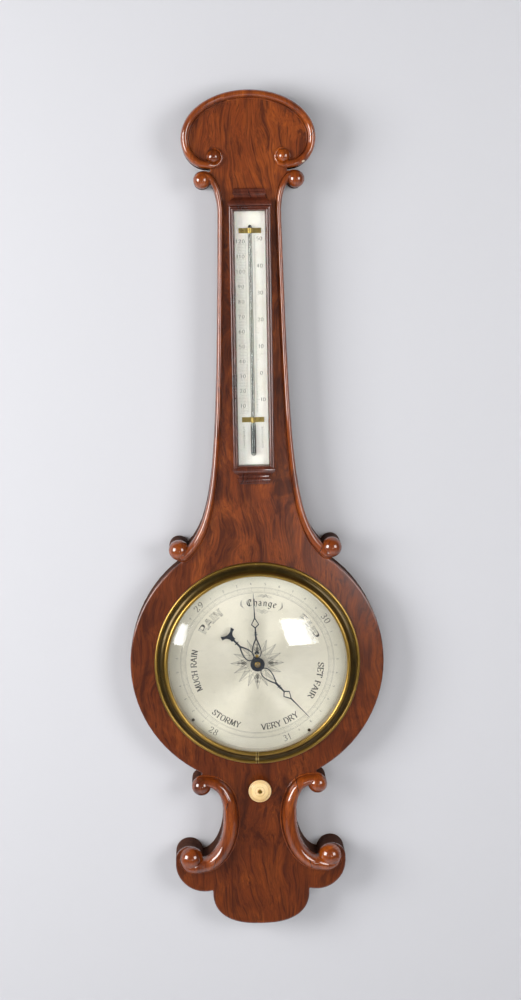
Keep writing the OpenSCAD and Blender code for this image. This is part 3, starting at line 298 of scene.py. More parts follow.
def bezel_brass():
    """Lacquered brass, olive with tarnish in the cove and bright on the beads, with painted shade at the sight
    edge, and a seam at its foot.
    """
    seam_shift, seam_half, crack_half = 0.0022, 0.0019, 0.0004
    b = Look("bezel_brass", Coat_Weight=0.12, Coat_Roughness=0.12)
    _, x, z = b.from_axis(DIAL_U)
    radius = b.calc("SQRT", x * x + z * z)
    across = (radius - SIGHT_R * MM) / ((BEZEL_R - SIGHT_R) * MM)
    lines = b.noise(b.rings(radius, 2600, b.calc("ARCTAN2", x, z) * 3), 3, 0.6)
    cloud = b.noise(48, 5, 0.62, 0.5)
    spot = b.noise(330, 4, 0.62)
    # Tarnish fills the cove; the inner wall at the sight edge is darkened as painted shade, and the outer foot is
    # darker too
    tarnish_and_shade = b.ramp(across, (0.0, 0.6), (0.05, 0.05), (0.22, 0.10), (0.34, 0.85), (0.60, 1.0),
                   (0.74, 0.9), (0.80, 0.05), (0.95, 0.10), (1.0, 0.6))
    tarnish_and_shade = tarnish_and_shade + (cloud - 0.5) * 0.3
    tone = b.mix(tarnish_and_shade, srgb(176, 142, 70), srgb(54, 41, 11))
    tone = b.mix(b.ramp(spot, (0.66, 0.0), (0.80, 0.3)), tone, srgb(74, 56, 24))
    at_foot = z < -0.09
    aside = abs(x + seam_shift)
    tone = b.mix(at_foot * (aside < seam_half) * 0.6, tone, srgb(206, 180, 112))
    tone = b.mix(at_foot * (aside < crack_half), tone, srgb(70, 52, 26))
    b.set("Metallic", b.ramp(tarnish_and_shade, (0.1, 1.0), (0.9, 0.75)))
    return b.surface(tone, b.ramp(cloud, (0.3, 0.32), (0.7, 0.38)) + tarnish_and_shade * -0.06,
                     b.bump(b.mix(0.3, lines, spot), 0.0006, 0.3))


def bone(name, light, warm, grain_share, spot_share, turned=False):
    """Polished bone: cream, with faint growth lines, brown in cracks and turned rings."""
    b = Look(name, Coat_Weight=0.25, Coat_Roughness=0.15, Subsurface_Weight=0.08,
             Subsurface_Scale=0.002)
    grain = b.noise((260, 260, 30), 4, 0.6, 0.4)
    cloud = b.noise(40, 4, 0.6)
    spots = b.noise(520, 3, 0.6)
    tone = b.mix(b.ramp(cloud, (0.38, 0.0), (0.68, 1.0)), light, warm)
    tone = b.mix(b.ramp(grain, (0.55, 0.0), (0.75, grain_share)), tone, srgb(186, 158, 110))
    tone = b.mix(b.ramp(spots, (0.66, 0.0), (0.76, spot_share)), tone, srgb(150, 120, 76))
    if turned:
        _, x, z = b.from_axis(KNOB_U)
        radius = b.calc("SQRT", x * x + z * z)
        cut = b.noise(b.rings(radius, 1400), 2, 0.5)
        tone = b.mix(b.ramp(cut, (0.56, 0.0), (0.70, 0.4)), tone, srgb(170, 130, 76))
        grooves = b.ramp(radius * (1 / (KNOB_R * MM)), (0.0, 0.8), (0.19, 0.8), (0.22, 0.0),
                         (0.40, 0.0), (0.42, 0.6), (0.45, 0.0), (0.76, 0.0), (0.78, 0.7),
                         (0.81, 0.1), (0.86, 0.1), (0.88, 0.7), (0.91, 0.1), (1.0, 0.3))
        tone = b.mix(grooves, tone, srgb(150, 108, 58))
    return b.surface(tone, b.ramp(cloud, (0.3, 0.28), (0.7, 0.42)),
                     b.bump(b.mix(0.5, grain, spots), 0.015, 0.5))


def clear_glass(name, tint, edge, reflect=1.0, wavy=0.05, rim=(0.55, 0.97), sealed=None):
    """Old glass: clear when faced, with a Fresnel shine, painted shade at its edges standing in for refraction,
    and a little dust.

    Above the height sealed, in metres, it is dark, as the closed end of a thermometer's bore.
    """
    dust, dark_end, white = 0.02, (0.22, 0.22, 0.24, 1), (1, 1, 1, 1)
    g = Look(name)
    smear = g.noise((90, 90, 200), 4, 0.65)
    shape = g.bump(g.noise(24, 2, 0.5), wavy, 0.25)
    facing = g.out("LayerWeight", {"Blend": 0.5, "Normal": shape}, "Facing")
    shine = g.calc("POWER", facing, 5.0) * 0.8 + 0.042 * reflect
    # The edge colour at grazing angles is painted shade, standing in for refraction
    clear = g.mix(g.ramp(facing, (rim[0], 0.0), (rim[1], 1.0)), tint, edge)
    if sealed:
        clear = g.mix(g.axis("Z") > sealed, clear, dark_end)
    mirror = g.out("BsdfGlossy", {"Color": white, "Normal": shape,
                                  "Roughness": g.ramp(smear, (0.35, 0.02), (0.75, 0.06))})
    haze = g.out("BsdfDiffuse", {"Color": srgb(225, 222, 214)})
    dusty = g.out("MixShader", {0: g.ramp(smear, (0.5, dust * 0.3), (0.8, dust * 1.6)),
                                1: g.out("BsdfTransparent", {0: clear}), 2: haze})
    g.show(g.out("MixShader", {0: shine, 1: dusty, 2: mirror}))
    g.tree.nodes.remove(g.shader)
    return g


def quicksilver():
    q = Look("quicksilver", Metallic=1.0)
    film = q.noise((300, 300, 90), 3, 0.6)
    return q.surface(q.mix(film, srgb(196, 198, 202), srgb(160, 162, 168)),
                     q.ramp(film, (0.3, 0.05), (0.7, 0.16)), q.bump(film, 0.01, 0.3))


def silk():
    s = Look("silk_thread", Sheen_Weight=0.4)
    twist = s.noise((900, 900, 700), 2, 0.5)
    return s.surface(s.mix(twist, srgb(214, 202, 170), srgb(176, 160, 124)),
                     s.ramp(twist, (0.3, 0.55), (0.7, 0.8)), s.bump(twist, 0.03, 0.5))


# Joints, splits and a chip in the carving and the box: x, u, clock, length, width, colour
CARVING_MARKS = [
    (72.2, -23.4, 40, 13, 0.7, PORE), (43.6, -770.8, -12, 18, 0.8, PORE),
    (58.7, -864.1, -14, 16, 0.7, PORE), (-54.1, -860.9, 14, 15, 0.7, PORE),
    (73.9, -495.1, 20, 12, 0.7, PORE), (-39.6, -799, 8, 22, 0.5, PORE),
    (60.7, -53.8, 60, 3.0, 1.6, BARE),
]
BOX_MARKS = [(26, -89, 35, 9, 5, srgb(120, 78, 52))]
STEM_SEALED_AT = -0.1268
CLEAR = (0.985, 0.99, 0.985, 1)
LOOKS = {
    "rosewood": wood("rosewood_veneer", srgb(70, 26, 3), srgb(132, 57, 8), srgb(176, 86, 18),
                     coat_rough=0.15, relief=0.5, shade=0.5),
    "carved_rosewood": wood("rosewood_carved", srgb(80, 30, 4), srgb(128, 56, 8), srgb(170, 84, 18),
                            figure=0.45, streak=0.5, coat_rough=0.05, relief=0.01, coat_ior=1.7,
                            marks=CARVING_MARKS),
    "dark_rosewood": wood("rosewood_box", srgb(46, 15, 6), srgb(88, 36, 18), srgb(126, 60, 36),
                          figure=0.3, streak=0.7, coat_rough=0.12, relief=0.1, coat_ior=1.75,
                          marks=BOX_MARKS),
    "case_side": wood("case_side", srgb(40, 20, 12), srgb(74, 38, 22), srgb(96, 54, 34), gloss=0.0,
                      figure=0.3, streak=0.7, dull=0.35),
    "pine": wood("pine", srgb(140, 96, 54), srgb(186, 140, 88), srgb(206, 166, 112), gloss=0.0,
                 figure=0.3, streak=0.5),
    "brass": metal("brass", srgb(212, 174, 88), srgb(138, 106, 44), 0.28),
    "dark_brass": metal("dark_brass", srgb(92, 78, 54), srgb(44, 38, 32), 0.4, 0.9),
    "clip_brass": metal("clip_brass", srgb(214, 188, 104), srgb(120, 98, 44), 0.26, 0.7, 0.7),
    "steel": metal("steel", srgb(150, 150, 150), srgb(96, 90, 84), 0.32),
    "blued_steel": metal("blued_steel", srgb(70, 78, 92), srgb(42, 42, 48), 0.3, 0.6),
    "thin_mercury": metal("thin_mercury", srgb(122, 124, 130), srgb(80, 82, 88), 0.24, 0.4, 0.85),
    "mercury": quicksilver(),
    "silvered": silvered(),
    "ink": ink("engraving_wax", srgb(56, 53, 52), srgb(132, 126, 114)),
    "faint_ink": ink("worn_engraving", srgb(104, 100, 92), srgb(168, 162, 148)),
    "scale_ink": ink("scale_ink", srgb(96, 88, 76), srgb(168, 158, 140)),
    "bezel": bezel_brass(),
    "bone": bone("turned_bone", srgb(232, 202, 148), srgb(212, 178, 120), 0.35, 0.4, True),
    "scale_bone": bone("scale_bone", srgb(253, 249, 241), srgb(246, 241, 230), 0.16, 0.2),
    "dome": clear_glass("dome_glass", CLEAR, (0.55, 0.60, 0.58, 1)),
    "pane": clear_glass("pane_glass", CLEAR, (0.6, 0.65, 0.63, 1), 0.8),
    "tube": clear_glass("tube_glass", (0.98, 0.985, 0.98, 1), (0.10, 0.11, 0.12, 1), 1.4, 0.005,
                        (0.4, 0.8)),
    "stem": clear_glass("stem_glass", (0.80, 0.81, 0.80, 1), (0.06, 0.06, 0.07, 1), 0.6, 0.005,
                        (0.25, 0.7), STEM_SEALED_AT),
    "silk": silk(),
}


# ------------------------------------------------------------------ geometry helpers


def at(x, u, d):
    return Vector((x * MM, -d * MM, u * MM))


def finish_mesh(name, bm, body, look, slot_name, stands_for=(), smooth=35):
    """Closes off a piece: outward normals, smooth shading with sharp creases, and its body; slot_name is not
    used.

    A piece without a body is left without one.
    """
    bmesh.ops.recalc_face_normals(bm, faces=bm.faces)
    obj = add_object(name, bm, LOOKS[look].material)
    for polygon in obj.data.polygons:
        polygon.use_smooth = True
    obj.data.set_sharp_from_angle(angle=math.radians(smooth))
    if body:
        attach(obj, body)
    if stands_for:
        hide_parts(*stands_for)
    return obj


def add_object(name, bm, material):
    mesh = bpy.data.meshes.new(name)
    bm.to_mesh(mesh)
    bm.free()
    mesh.materials.append(material)
    obj = bpy.data.objects.new(name, mesh)
    bpy.context.scene.collection.objects.link(obj)
    return obj


def bridge(bm, a, b):
    """Quads between two rings of vertices, or triangles where one of them is a single tip."""
    n = max(len(a), len(b))
    for i in range(n):
        j = (i + 1) % n
        if len(a) == len(b):
            bm.faces.new((a[i], a[j], b[j], b[i]))
        else:
            tip, ring = (a[0], b) if len(a) == 1 else (b[0], a)
            bm.faces.new((tip, ring[i], ring[j]))


def sweep(bm, rings, ends=True):
    """Walls between rings in turn, and faces on the first and the last one."""
    for a, b in zip(rings, rings[1:]):
        bridge(bm, a, b)
    if ends:
        bm.faces.new(rings[0])
        bm.faces.new(rings[-1])


TIP_R = 1e-6


def bead(r, d, size, start, stop, step, rise=None):
    """Points of a turned bead from angle start to stop, in degrees; rise flattens it."""
    angles = (math.radians(a) for a in range(start, stop, step))
    return [(r + size * math.cos(t), d + (rise or size) * math.sin(t)) for t in angles]


def circle(n):
    return [(math.sin(a), math.cos(a)) for a in (2 * math.pi * i / n for i in range(n))]


def lathe(bm, profile, cx, cu, segments=128, closed=True):
    """Turns a profile of (radius, depth) round the axis out of the wall through (cx, cu)."""
    rings = []
    for r, d in profile:
        around = circle(segments) if r > TIP_R else [(0, 0)]
        rings.append([bm.verts.new(at(cx + r * s, cu + r * c, d)) for s, c in around])
    sweep(bm, rings + rings[:1] if closed else rings, ends=False)


def upright_ring(bm, x, u, d, r, n):
    """A level ring of vertices round a vertical line, or its tip where the radius is nothing."""
    around = circle(n) if r > TIP_R else [(0, 0)]
    return [bm.verts.new(at(x + r * c, u, d + r * s)) for s, c in around]


def prism(bm, outline, d0, d1):
    """A closed plate between two depths from a list of (x, u)."""
    sweep(bm, [[bm.verts.new(at(x, u, d)) for x, u in outline] for d in (d0, d1)])


def smooth_path(points, per=4):
    """Catmull-Rom through rows of numbers."""
    out = []
    n = len(points)
    for i in range(n - 1):
        rows = [points[max(i - 1, 0)], points[i], points[i + 1], points[min(i + 2, n - 1)]]
        for t in (s / per for s in range(per)):
            out.append([
                0.5 * (2 * b + (c - a) * t + (2 * a - 5 * b + 4 * c - d) * t * t
                       + (3 * b - 3 * c + d - a) * t ** 3)
                for a, b, c, d in zip(*rows)
            ])
    out.append(list(points[-1]))
    return out


def heading(path, i):
    a, b = path[max(i - 1, 0)], path[min(i + 1, len(path) - 1)]
    dx, du = b[0] - a[0], b[1] - a[1]
    n = math.hypot(dx, du)
    return dx / n, du / n


# ------------------------------------------------------------------ carved rolls

# The carving's turned balls: x, u, radius, and how far the centre stands out of the face
CREST_BALL = (39, -47.4, 7.9, 0.6)
SIDE_TOP_BALL = (52.6, -72.9, 9.6, 0.6)
SIDE_FOOT_BALL = (88, -490.5, 11.5, 0.8)
LOW_TOP_BALL = (68, -770.4, 11.2, 0.8)
LOW_FOOT_BALL = (81.8, -857.6, 13.5, 1.0)
# Heights of the crest's widest place, of the neck's top and of the lower scrolls' waist
CREST_U, NECK_U, WAIST_U = -27, -108, -809


def arc_pts(cx, cu, a, b, t0, t1, w0, w1, p=2.0, steps=14):
    """Rows of x, u, width on a superellipse with half axes a and b, from angle t0 to t1."""
    rows = []
    for k in (i / steps for i in range(steps + 1)):
        t = math.radians(t0 + (t1 - t0) * k)
        c, s = math.cos(t), math.sin(t)
        rows.append([cx + a * math.copysign(abs(c) ** (2 / p), c),
                     cu + b * math.copysign(abs(s) ** (2 / p), s), w0 + (w1 - w0) * k])
    return rows


def curl(x, u, start, turn, steps, radius, width):
    """A spiral round (x, u); radius and width depend on the share of the way."""
    rows = []
    for k in (i / steps for i in range(steps + 1)):
        a = math.radians(start + turn * k)
        rows.append([x + radius(k) * math.cos(a), u + radius(k) * math.sin(a), width(k)])
    return rows


def crest_path():
    x, u = CREST_BALL[:2]
    half = (arc_pts(0, CREST_U, 70, 47.4, 90, 0, 10, 10.4)
            + arc_pts(47, CREST_U, 23, 28.4, 0, -90, 10.4, 10.4)[1:]
            + curl(x, u, -62, -208, 14, lambda k: 8.4 + 1.4 * (1 - k) ** 3,
                   lambda k: 3.6 + 6.4 * (1 - k) ** 3))
    return [[-x, u, w] for x, u, w in half[:0:-1]] + half


def side_path():
    """Top curl, a long cubic down the neck, and a hook round the lower ball."""
    curve = [(32, NECK_U), (38.6, -394.9), (40.6, -466.6), (82, -498)]
    rows = arc_pts(49.8, NECK_U, 17.8, 40.5, 78, 180, 9.6, 7.2)
    for t in (i / 22 for i in range(1, 23)):
        x, u = ((1 - t) ** 3 * a + 3 * (1 - t) ** 2 * t * b + 3 * (1 - t) * t * t * c + t ** 3 * d
                for a, b, c, d in zip(*curve))
        rows.append([x, u, 7.2 + 3.8 * t ** 2 + 3.2 * t ** 6])
    return rows + arc_pts(*SIDE_FOOT_BALL[:2], 5.6, 6.4, -128, 16, 13.6, 7.0, steps=6)[1:]


def low_path():
    """A curl on the upper ball, the outer and inner half of the C, and a curl on the lower ball."""
    return (curl(68, -770.8, 20, 61, 8, lambda k: 2.5 + 4.1 * k, lambda k: 7 + 5.5 * k)
            + arc_pts(64, WAIST_U, 30.8, 44.6, 84, 180, 12.5, 19.6, 2.3, 16)[1:]
            + arc_pts(70, WAIST_U, 36.8, 58.1, 180, 266, 19.6, 18.5)[1:]
            + curl(*LOW_FOOT_BALL[:2], -137, 150, 11, lambda k: 15.2 - 7.6 * k ** 0.6,
                   lambda k: 18.5 - 7.5 * k ** 0.7)[1:])


def roll_section(w):
    """Half round from the outer edge (+) to the ground side (-), which has a quirk."""
    sunk, steps = -0.4, 24
    lift = 0.66 * w + 1
    q = min(2.5, 0.12 * w + 0.45)
    rows = [(w / 2, sunk)]
    for a in (math.pi * j / steps for j in range(steps + 1)):
        rows.append((w / 2 - (w - q) / 2 * (1 - math.cos(a)),
                     max(math.sin(a), 0.0) ** 0.7 * lift + 0.12))
    for share, h in ((0.10, -0.30), (0.30, -0.30), (0.38, 0.75), (0.52, 1.05), (0.72, 1.05),
                     (0.90, 0.7), (1.0, 0.1)):
        rows.append((-w / 2 + q - share * q, h))
    return rows + [(-w / 2, sunk)]


def add_roll(bm, path, mirror=1):
    path = smooth_path(path)
    rings = []
    for i, (x, u, w) in enumerate(path):
        hx, hu = heading(path, i)
        rings.append([bm.verts.new(at(mirror * (x - hu * s), u + hx * s, FACE + h))
                      for s, h in roll_section(w)])
    sweep(bm, rings)


def add_boss(bm, ball, mirror=1):
    """A turned ball let into the face, with a slight collar where it meets the ground."""
    x, u, r, sunk = ball
    steps, floor = 18, 0.4
    t0 = -math.asin(min((sunk + floor) / r, 1))
    profile = [(0.0, FACE - floor)]
    for i in range(steps + 1):
        t = t0 + (math.pi / 2 - t0) * i / steps
        profile.append((max(r * math.cos(t), 0.0), FACE + sunk + r * math.sin(t)))
    profile[-1] = (0.0, profile[-1][1])
    lathe(bm, profile, mirror * x, u, 48, closed=False)


def carve(name, stands_for, rolls, balls):
    """One carved piece from (path, mirror) and (ball, mirror) pairs."""
    bm = bmesh.new()
    for path, mirror in rolls:
        add_roll(bm, path, mirror)
    for ball, mirror in balls:
        add_boss(bm, ball, mirror)
    finish_mesh(name, bm, "case", "carved_rosewood", "carved_rosewood", [stands_for])


carve("crest_carving", "crest_scroll", [(crest_path(), 1)], [(CREST_BALL, 1), (CREST_BALL, -1)])
for hand, k in (("right", 1), ("left", -1)):
    carve(f"side_carving_{hand}", f"side_scroll_{hand}", [(side_path(), k)],
          [(SIDE_TOP_BALL, k), (SIDE_FOOT_BALL, k)])
    carve(f"lower_carving_{hand}", f"lower_scroll_{hand}", [(low_path(), k)],
          [(LOW_TOP_BALL, k), (LOW_FOOT_BALL, k)])


# ------------------------------------------------------------------ veneered face


def boundary_loops(node, keep):
    """Closed loops of (x, u), in mm, round the faces of a CAD node that keep() picks."""
    bm = bmesh.new()
    bm.from_mesh(NODES[node].data)
    bmesh.ops.remove_doubles(bm, verts=bm.verts, dist=1e-5)
    bm.normal_update()
    chosen = {f for f in bm.faces if keep(f)}
    links = {}
    for e in bm.edges:
        if sum(f in chosen for f in e.link_faces) == 1:
            for v in e.verts:
                links.setdefault(v, []).append(e.other_vert(v))
    loops, seen = [], set()
    for start in links:
        if start in seen:
            continue
        loop, v, last = [], start, None
        while v not in seen:
            seen.add(v)
            loop.append((v.co.x / MM, v.co.z / MM))
            step = [w for w in links[v] if w is not last and w not in seen]
            last = v
            if not step:
                break
            v = step[0]
        loops.append(loop if area_of(loop) > 0 else loop[::-1])
    bm.free()
    return sorted(loops, key=area_of, reverse=True)


def area_of(loop):
    """More than nothing where the loop runs counter-clockwise."""
    return sum(a[0] * b[1] - b[0] * a[1] for a, b in zip(loop, loop[1:] + loop[:1])) / 2


def inset(loop, amounts):
    """Moves each point of a counter-clockwise loop inwards by its own amount."""
    out = []
    n = len(loop)
    for i, (x, u) in enumerate(loop):
        (ax, au), (bx, bu) = loop[i - 1], loop[(i + 1) % n]
        n1 = Vector((-(u - au), x - ax)).normalized()
        n2 = Vector((-(bu - u), bx - x)).normalized()
        m = n1 + n2
        if m.length < 0.3:
            m = n1
        m.normalize()
        reach = amounts[i] / max(m.dot(n1), 0.6)
        out.append((x + m.x * reach, u + m.y * reach))
    return out


def fill(bm, parts, verts):
    """Triangles between an outline and its holes."""
    made = []
    for tri in tessellate_polygon([[Vector((x, u, 0)) for x, u in part] for part in parts]):
        made.append(bm.faces.new([verts[i] for i in tri]))
    return made


def veneer():
    """The face board with its arris, wider on the disc and the tail than elsewhere."""
    wide, slight, steps, landing = 2.0, 0.4, 6, 0.3
    disc_centre_u, tail_u = -624.5, -858
    outer, *holes = boundary_loops(
        "front_panel", lambda f: f.normal.y < -0.9 and f.calc_center_median().y < -0.0349)[:3]
    arris = []
    for x, u in outer:
        on_disc = abs(math.hypot(x, u - disc_centre_u) - DISC_R) < 1.0
        arris.append(wide if on_disc or u < tail_u else slight)
    for _ in range(2):
        arris = [(arris[i - 1] + 2 * a + arris[(i + 1) % len(arris)]) / 4
                 for i, a in enumerate(arris)]
    bm = bmesh.new()

    def laid(loop, d):
        return [bm.verts.new(at(x, u, d)) for x, u in loop]

    rings = [laid(outer, CARCASS)]
    for t in (math.pi / 2 * k / steps for k in range(steps + 1)):
        pts = inset(outer, [a * (1 - math.cos(t)) for a in arris])
        rings.append([bm.verts.new(at(x, u, FACE - a * (1 - math.sin(t))))
                      for (x, u), a in zip(pts, arris)])
    pts = inset(outer, [a + landing for a in arris])
    rings.append(laid(pts, FACE))
    sweep(bm, rings, ends=False)
    tops = [rings[-1]] + [laid(hole, FACE) for hole in holes]
    lows = [rings[0]] + [laid(hole, CARCASS) for hole in holes]
    fill(bm, [pts, *holes], [v for part in tops for v in part])
    fill(bm, [outer, *holes], [v for part in lows for v in part])
    for top, low in zip(tops[1:], lows[1:]):
        bridge(bm, low, top)
    finish_mesh("veneered_face", bm, "case", "rosewood", "rosewood", ["front_panel"], 50)


# ------------------------------------------------------------------ thermometer box


def soften(points, radius, steps=3):
    """Rounds the corners of a closed outline of (x, y)."""
    out = []
    n = len(points)
    for i, (x, y) in enumerate(points):
        (ax, ay), (bx, by) = points[i - 1], points[(i + 1) % n]
        la, lb = math.hypot(ax - x, ay - y), math.hypot(bx - x, by - y)
        r = min(radius, la * 0.4, lb * 0.4)
        p = (x + (ax - x) / la * r, y + (ay - y) / la * r)
        q = (x + (bx - x) / lb * r, y + (by - y) / lb * r)
        for t in (j / steps for j in range(steps + 1)):
            out.append(tuple((1 - t) ** 2 * p[k] + 2 * t * (1 - t) * (x, y)[k] + t * t * q[k]
                             for k in (0, 1)))
    return out


BOX_W, BOX_OPEN_W, BOX_TOP, BOX_BOTTOM, BOX_H = 47.0, 35.0, -108.0, -393.5, 12.0
RAIL_W = (BOX_W - BOX_OPEN_W) / 2
REBATE_D, PANE_STEP, GROOVE, FOOT_OVERLAP = 7.7, 1.4, RAIL_W - 1.2, 3.4
# The rail's face from its outer edge inwards: way in, and depth under the box's front
RAIL_FACE = [(0, 2.4), (0.15, 1.3), (0.7, 0.5), (1.5, 0.1), (2.2, 0.5), (2.6, 1.3), (2.9, 1.3),
             (3.2, 0.4), (3.8, 0), (4.5, 0.3), (5.2, 1.3), (5.6, 2.8), (RAIL_W, 3.2)]
# The cornice from the box outwards: way up, and how far it stands past the rails
CORNICE = [(0, 0.3), (0.7, 0.9), (3.0, 0.9), (3.6, 0.2), (4.6, -0.2), (6, -1.6), (7.4, -3.4),
           (8.6, -5.4), (9.4, -6.2), (12.4, -6.2), (12.8, -4.6), (15, -4.6), (15.4, -5.6),
           (18.4, -5.6), (19, -6.2)]


def thermometer_box():
    step = REBATE_D + PANE_STEP
    section = [(0, 0)] + [(s, BOX_H - h) for s, h in RAIL_FACE] + [
        (RAIL_W, step), (GROOVE, step), (GROOVE, REBATE_D), (RAIL_W, REBATE_D), (RAIL_W, 0)]
    bm = bmesh.new()
    top, bottom = BOX_TOP + RAIL_W, BOX_BOTTOM - RAIL_W
    rings = []
    for s, h in soften(section, 0.32):
        w = BOX_W / 2 - s
        corners = ((-w, bottom + s), (w, bottom + s), (w, top - s), (-w, top - s))
        rings.append([bm.verts.new(at(x, u, FACE + h)) for x, u in corners])
    sweep(bm, rings + rings[:1], ends=False)
    finish_mesh("thermometer_box", bm, "case", "dark_rosewood", "dark_rosewood",
                ["thermometer_frame"], 30)
    far = -30
    closed = CORNICE + [(CORNICE[-1][0], far), (CORNICE[0][0], far)]
    profile = [p for p in soften(closed, 0.3) if p[1] > far + 5]
    for end, base, k in (("top", top, 1), ("bottom", bottom + FOOT_OVERLAP, -1)):
        bm = bmesh.new()
        rings = []
        for u, s in profile:
            w, h = BOX_W / 2 + s, BOX_H + s
            outline = soften([(-w, 0), (-w, h), (w, h), (w, 0)], 0.5)
            rings.append([bm.verts.new(at(x, base + k * u, FACE + d)) for x, d in outline])
        sweep(bm, rings)
        finish_mesh(f"thermometer_{end}_cornice", bm, "case", "dark_rosewood", "dark_rosewood",
                    [f"thermometer_{end}_moulding"], 30)


# ------------------------------------------------------------------ dial, bezel and knob


def turned(name, profile, u, look, slot_name, body="case", stands_for=(), smooth=35, x=0,
           segments=64, closed=True):
    bm = bmesh.new()
    lathe(bm, profile, x, u, segments, closed)
    finish_mesh(name, bm, body, look, slot_name, stands_for, smooth)


def dial():
    profile = [(BUSH_R, CARCASS), (BUSH_R, DIAL_FRONT - 0.1), (BUSH_R + 0.15, DIAL_FRONT)]
    profile += [(r, DIAL_FRONT) for r in range(8, 105, 8)]
    profile += [(DIAL_R - 0.3, DIAL_FRONT), (DIAL_R, DIAL_FRONT - 0.3), (DIAL_R, CARCASS)]
    turned("dial_face", profile, DIAL_U, "silvered", "silvered_brass", "case", ["dial_plate"], 30,
           segments=192)


def bezel():
    """Foot bead, deep cove and inner bead, with the spigot and the glass rebate behind."""
    foot, top, seat, spigot_r, spigot = BEZEL_R - 4, SIGHT_R + 4.6, 7.62, 107.2, -1.4
    rows = [(BEZEL_R, 0.0), (BEZEL_R, 0.6)] + bead(BEZEL_R - 1.8, 1.9, 1.8, 0, 161, 16)
    rows += [(foot + 0.5, 2.9), (foot + 0.35, 2.55), (foot, 2.5)]
    for t in (math.radians(90 * i / 16) for i in range(1, 17)):
        rows.append((foot - (foot - top) * math.sin(t), 2.6 + (BEZEL_H - 4.8) * (1 - math.cos(t))))
    rows += bead(SIGHT_R + 2.2, BEZEL_H - 2.1, 2.1, 10, 171, 16)
    rows += [(SIGHT_R + 0.15, BEZEL_H - 2.7), (SIGHT_R, BEZEL_H - 2.9), (SIGHT_R, seat),
             (GLASS_R, seat), (GLASS_R, spigot), (spigot_r, spigot), (spigot_r, 0.0)]
    turned("bezel_turned", [(r, FACE + d) for r, d in rows], DIAL_U, "bezel", "brass", "case",
           ["bezel"], 40, segments=256)


def hub_nut():
    """The brass nut on the indicator's arbor, and the little brass piece in the set hand's ring."""
    nut = [(0, 0.7), (3.2, 0.7), (3.2, 1.2), (2.9, 1.6), (2.3, 1.95), (1.6, 2.0), (1.5, 1.8),
           (1.25, 1.8), (1.15, 2.7), (0.9, 3.0), (0, 3.1)]
    stud = [(0, 0.7), (1.9, 0.7), (1.9, 1.1), (1.5, 1.4), (0.8, 1.5), (0, 1.55)]
    x, u = polar(SET_RING_R, SET_DEG)
    turned("hub_nut", [(r, INDICATOR_D + d) for r, d in nut], DIAL_U, "brass", "brass", "indicator",
           closed=False)
    turned("set_hand_stud", [(r, SET_HAND_D + d) for r, d in stud], u, "brass", "brass",
           "set_hand_group", x=x, segments=32, closed=False)


# The knob's back and face as shares of its radius and height, with the beads and rings of its face
KNOB_BACK = [(0.42, 0.0), (0.36, 0.12), (0.36, 0.30), (0.5, 0.42), (0.86, 0.66)]
KNOB_FACE = [(0.90, 0.875), (0.875, 0.855), (0.85, 0.88), (0.80, 0.895), (0.78, 0.875),
             (0.755, 0.90), (0.66, 0.925), (0.55, 0.945), (0.44, 0.96), (0.42, 0.945),
             (0.395, 0.965), (0.30, 0.98), (0.22, 0.985), (0.19, 0.96)]


def knob():
    """Turned bone knob with beads and fine rings cut in its face."""
    def scaled(shares):
        return [(KNOB_R * r, KNOB_H * h) for r, h in shares]
    rows = ([(KNOB_HOLE_R, 0.0)] + scaled(KNOB_BACK)
            + bead(KNOB_R - 1.3, KNOB_H * 0.80, 1.3, -60, 76, 15)
            + scaled(KNOB_FACE) + [(KNOB_HOLE_R, KNOB_H * 0.95)])
    turned("knob_turned", [(r, FACE + 2.5 + h) for r, h in rows], KNOB_U, "bone", "bone",
           "knob_group", ["bone_knob"], 50, segments=96)


# ------------------------------------------------------------------ threads and free mercury


def thread(name, x, d, u0, u1, stands_for, end):
    """A two-strand silk thread from a moving lower end up to the pulley; end is not used."""
    strand_r, lay_r, pitch = 0.13, 0.11, 3.2
    bm = bmesh.new()
    turns = abs(u1 - u0) / pitch
    count = int(turns * 10)
    for strand in (0, math.pi):
        rings = []
        for t in (i / count for i in range(count + 1)):
            a = 2 * math.pi * turns * t + strand
            rings.append(upright_ring(bm, x + lay_r * math.cos(a), u0 + (u1 - u0) * t,
                                      d + lay_r * math.sin(a), strand_r, 6))
        sweep(bm, rings)
    obj = finish_mesh(name, bm, None, "silk", "silk", [stands_for], 50)
    at(x, u1, d)
    at(x, end, d)
    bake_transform(obj)


def column(name, x, d, u0, u1, stands_for):
    """A mercury column whose moving end has the domed meniscus."""
    r, dome = 2.6, 0.7
    foot = u1 - dome
    rows = [(0.0, u0)] + [(r, u0 + (foot - u0) * i / 20) for i in range(21)]
    rows += bead(0, foot, r, 15, 90, 15, dome) + [(0.0, u1)]
    bm = bmesh.new()
    sweep(bm, [upright_ring(bm, x, u, d, c, 32) for c, u in rows], ends=False)
    obj = finish_mesh(name, bm, None, "mercury", "mercury", [stands_for], 50)
    at(x, u0 + 0.5, d)
    at(x, foot - 1, d)
    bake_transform(obj)


# ------------------------------------------------------------------ lettering

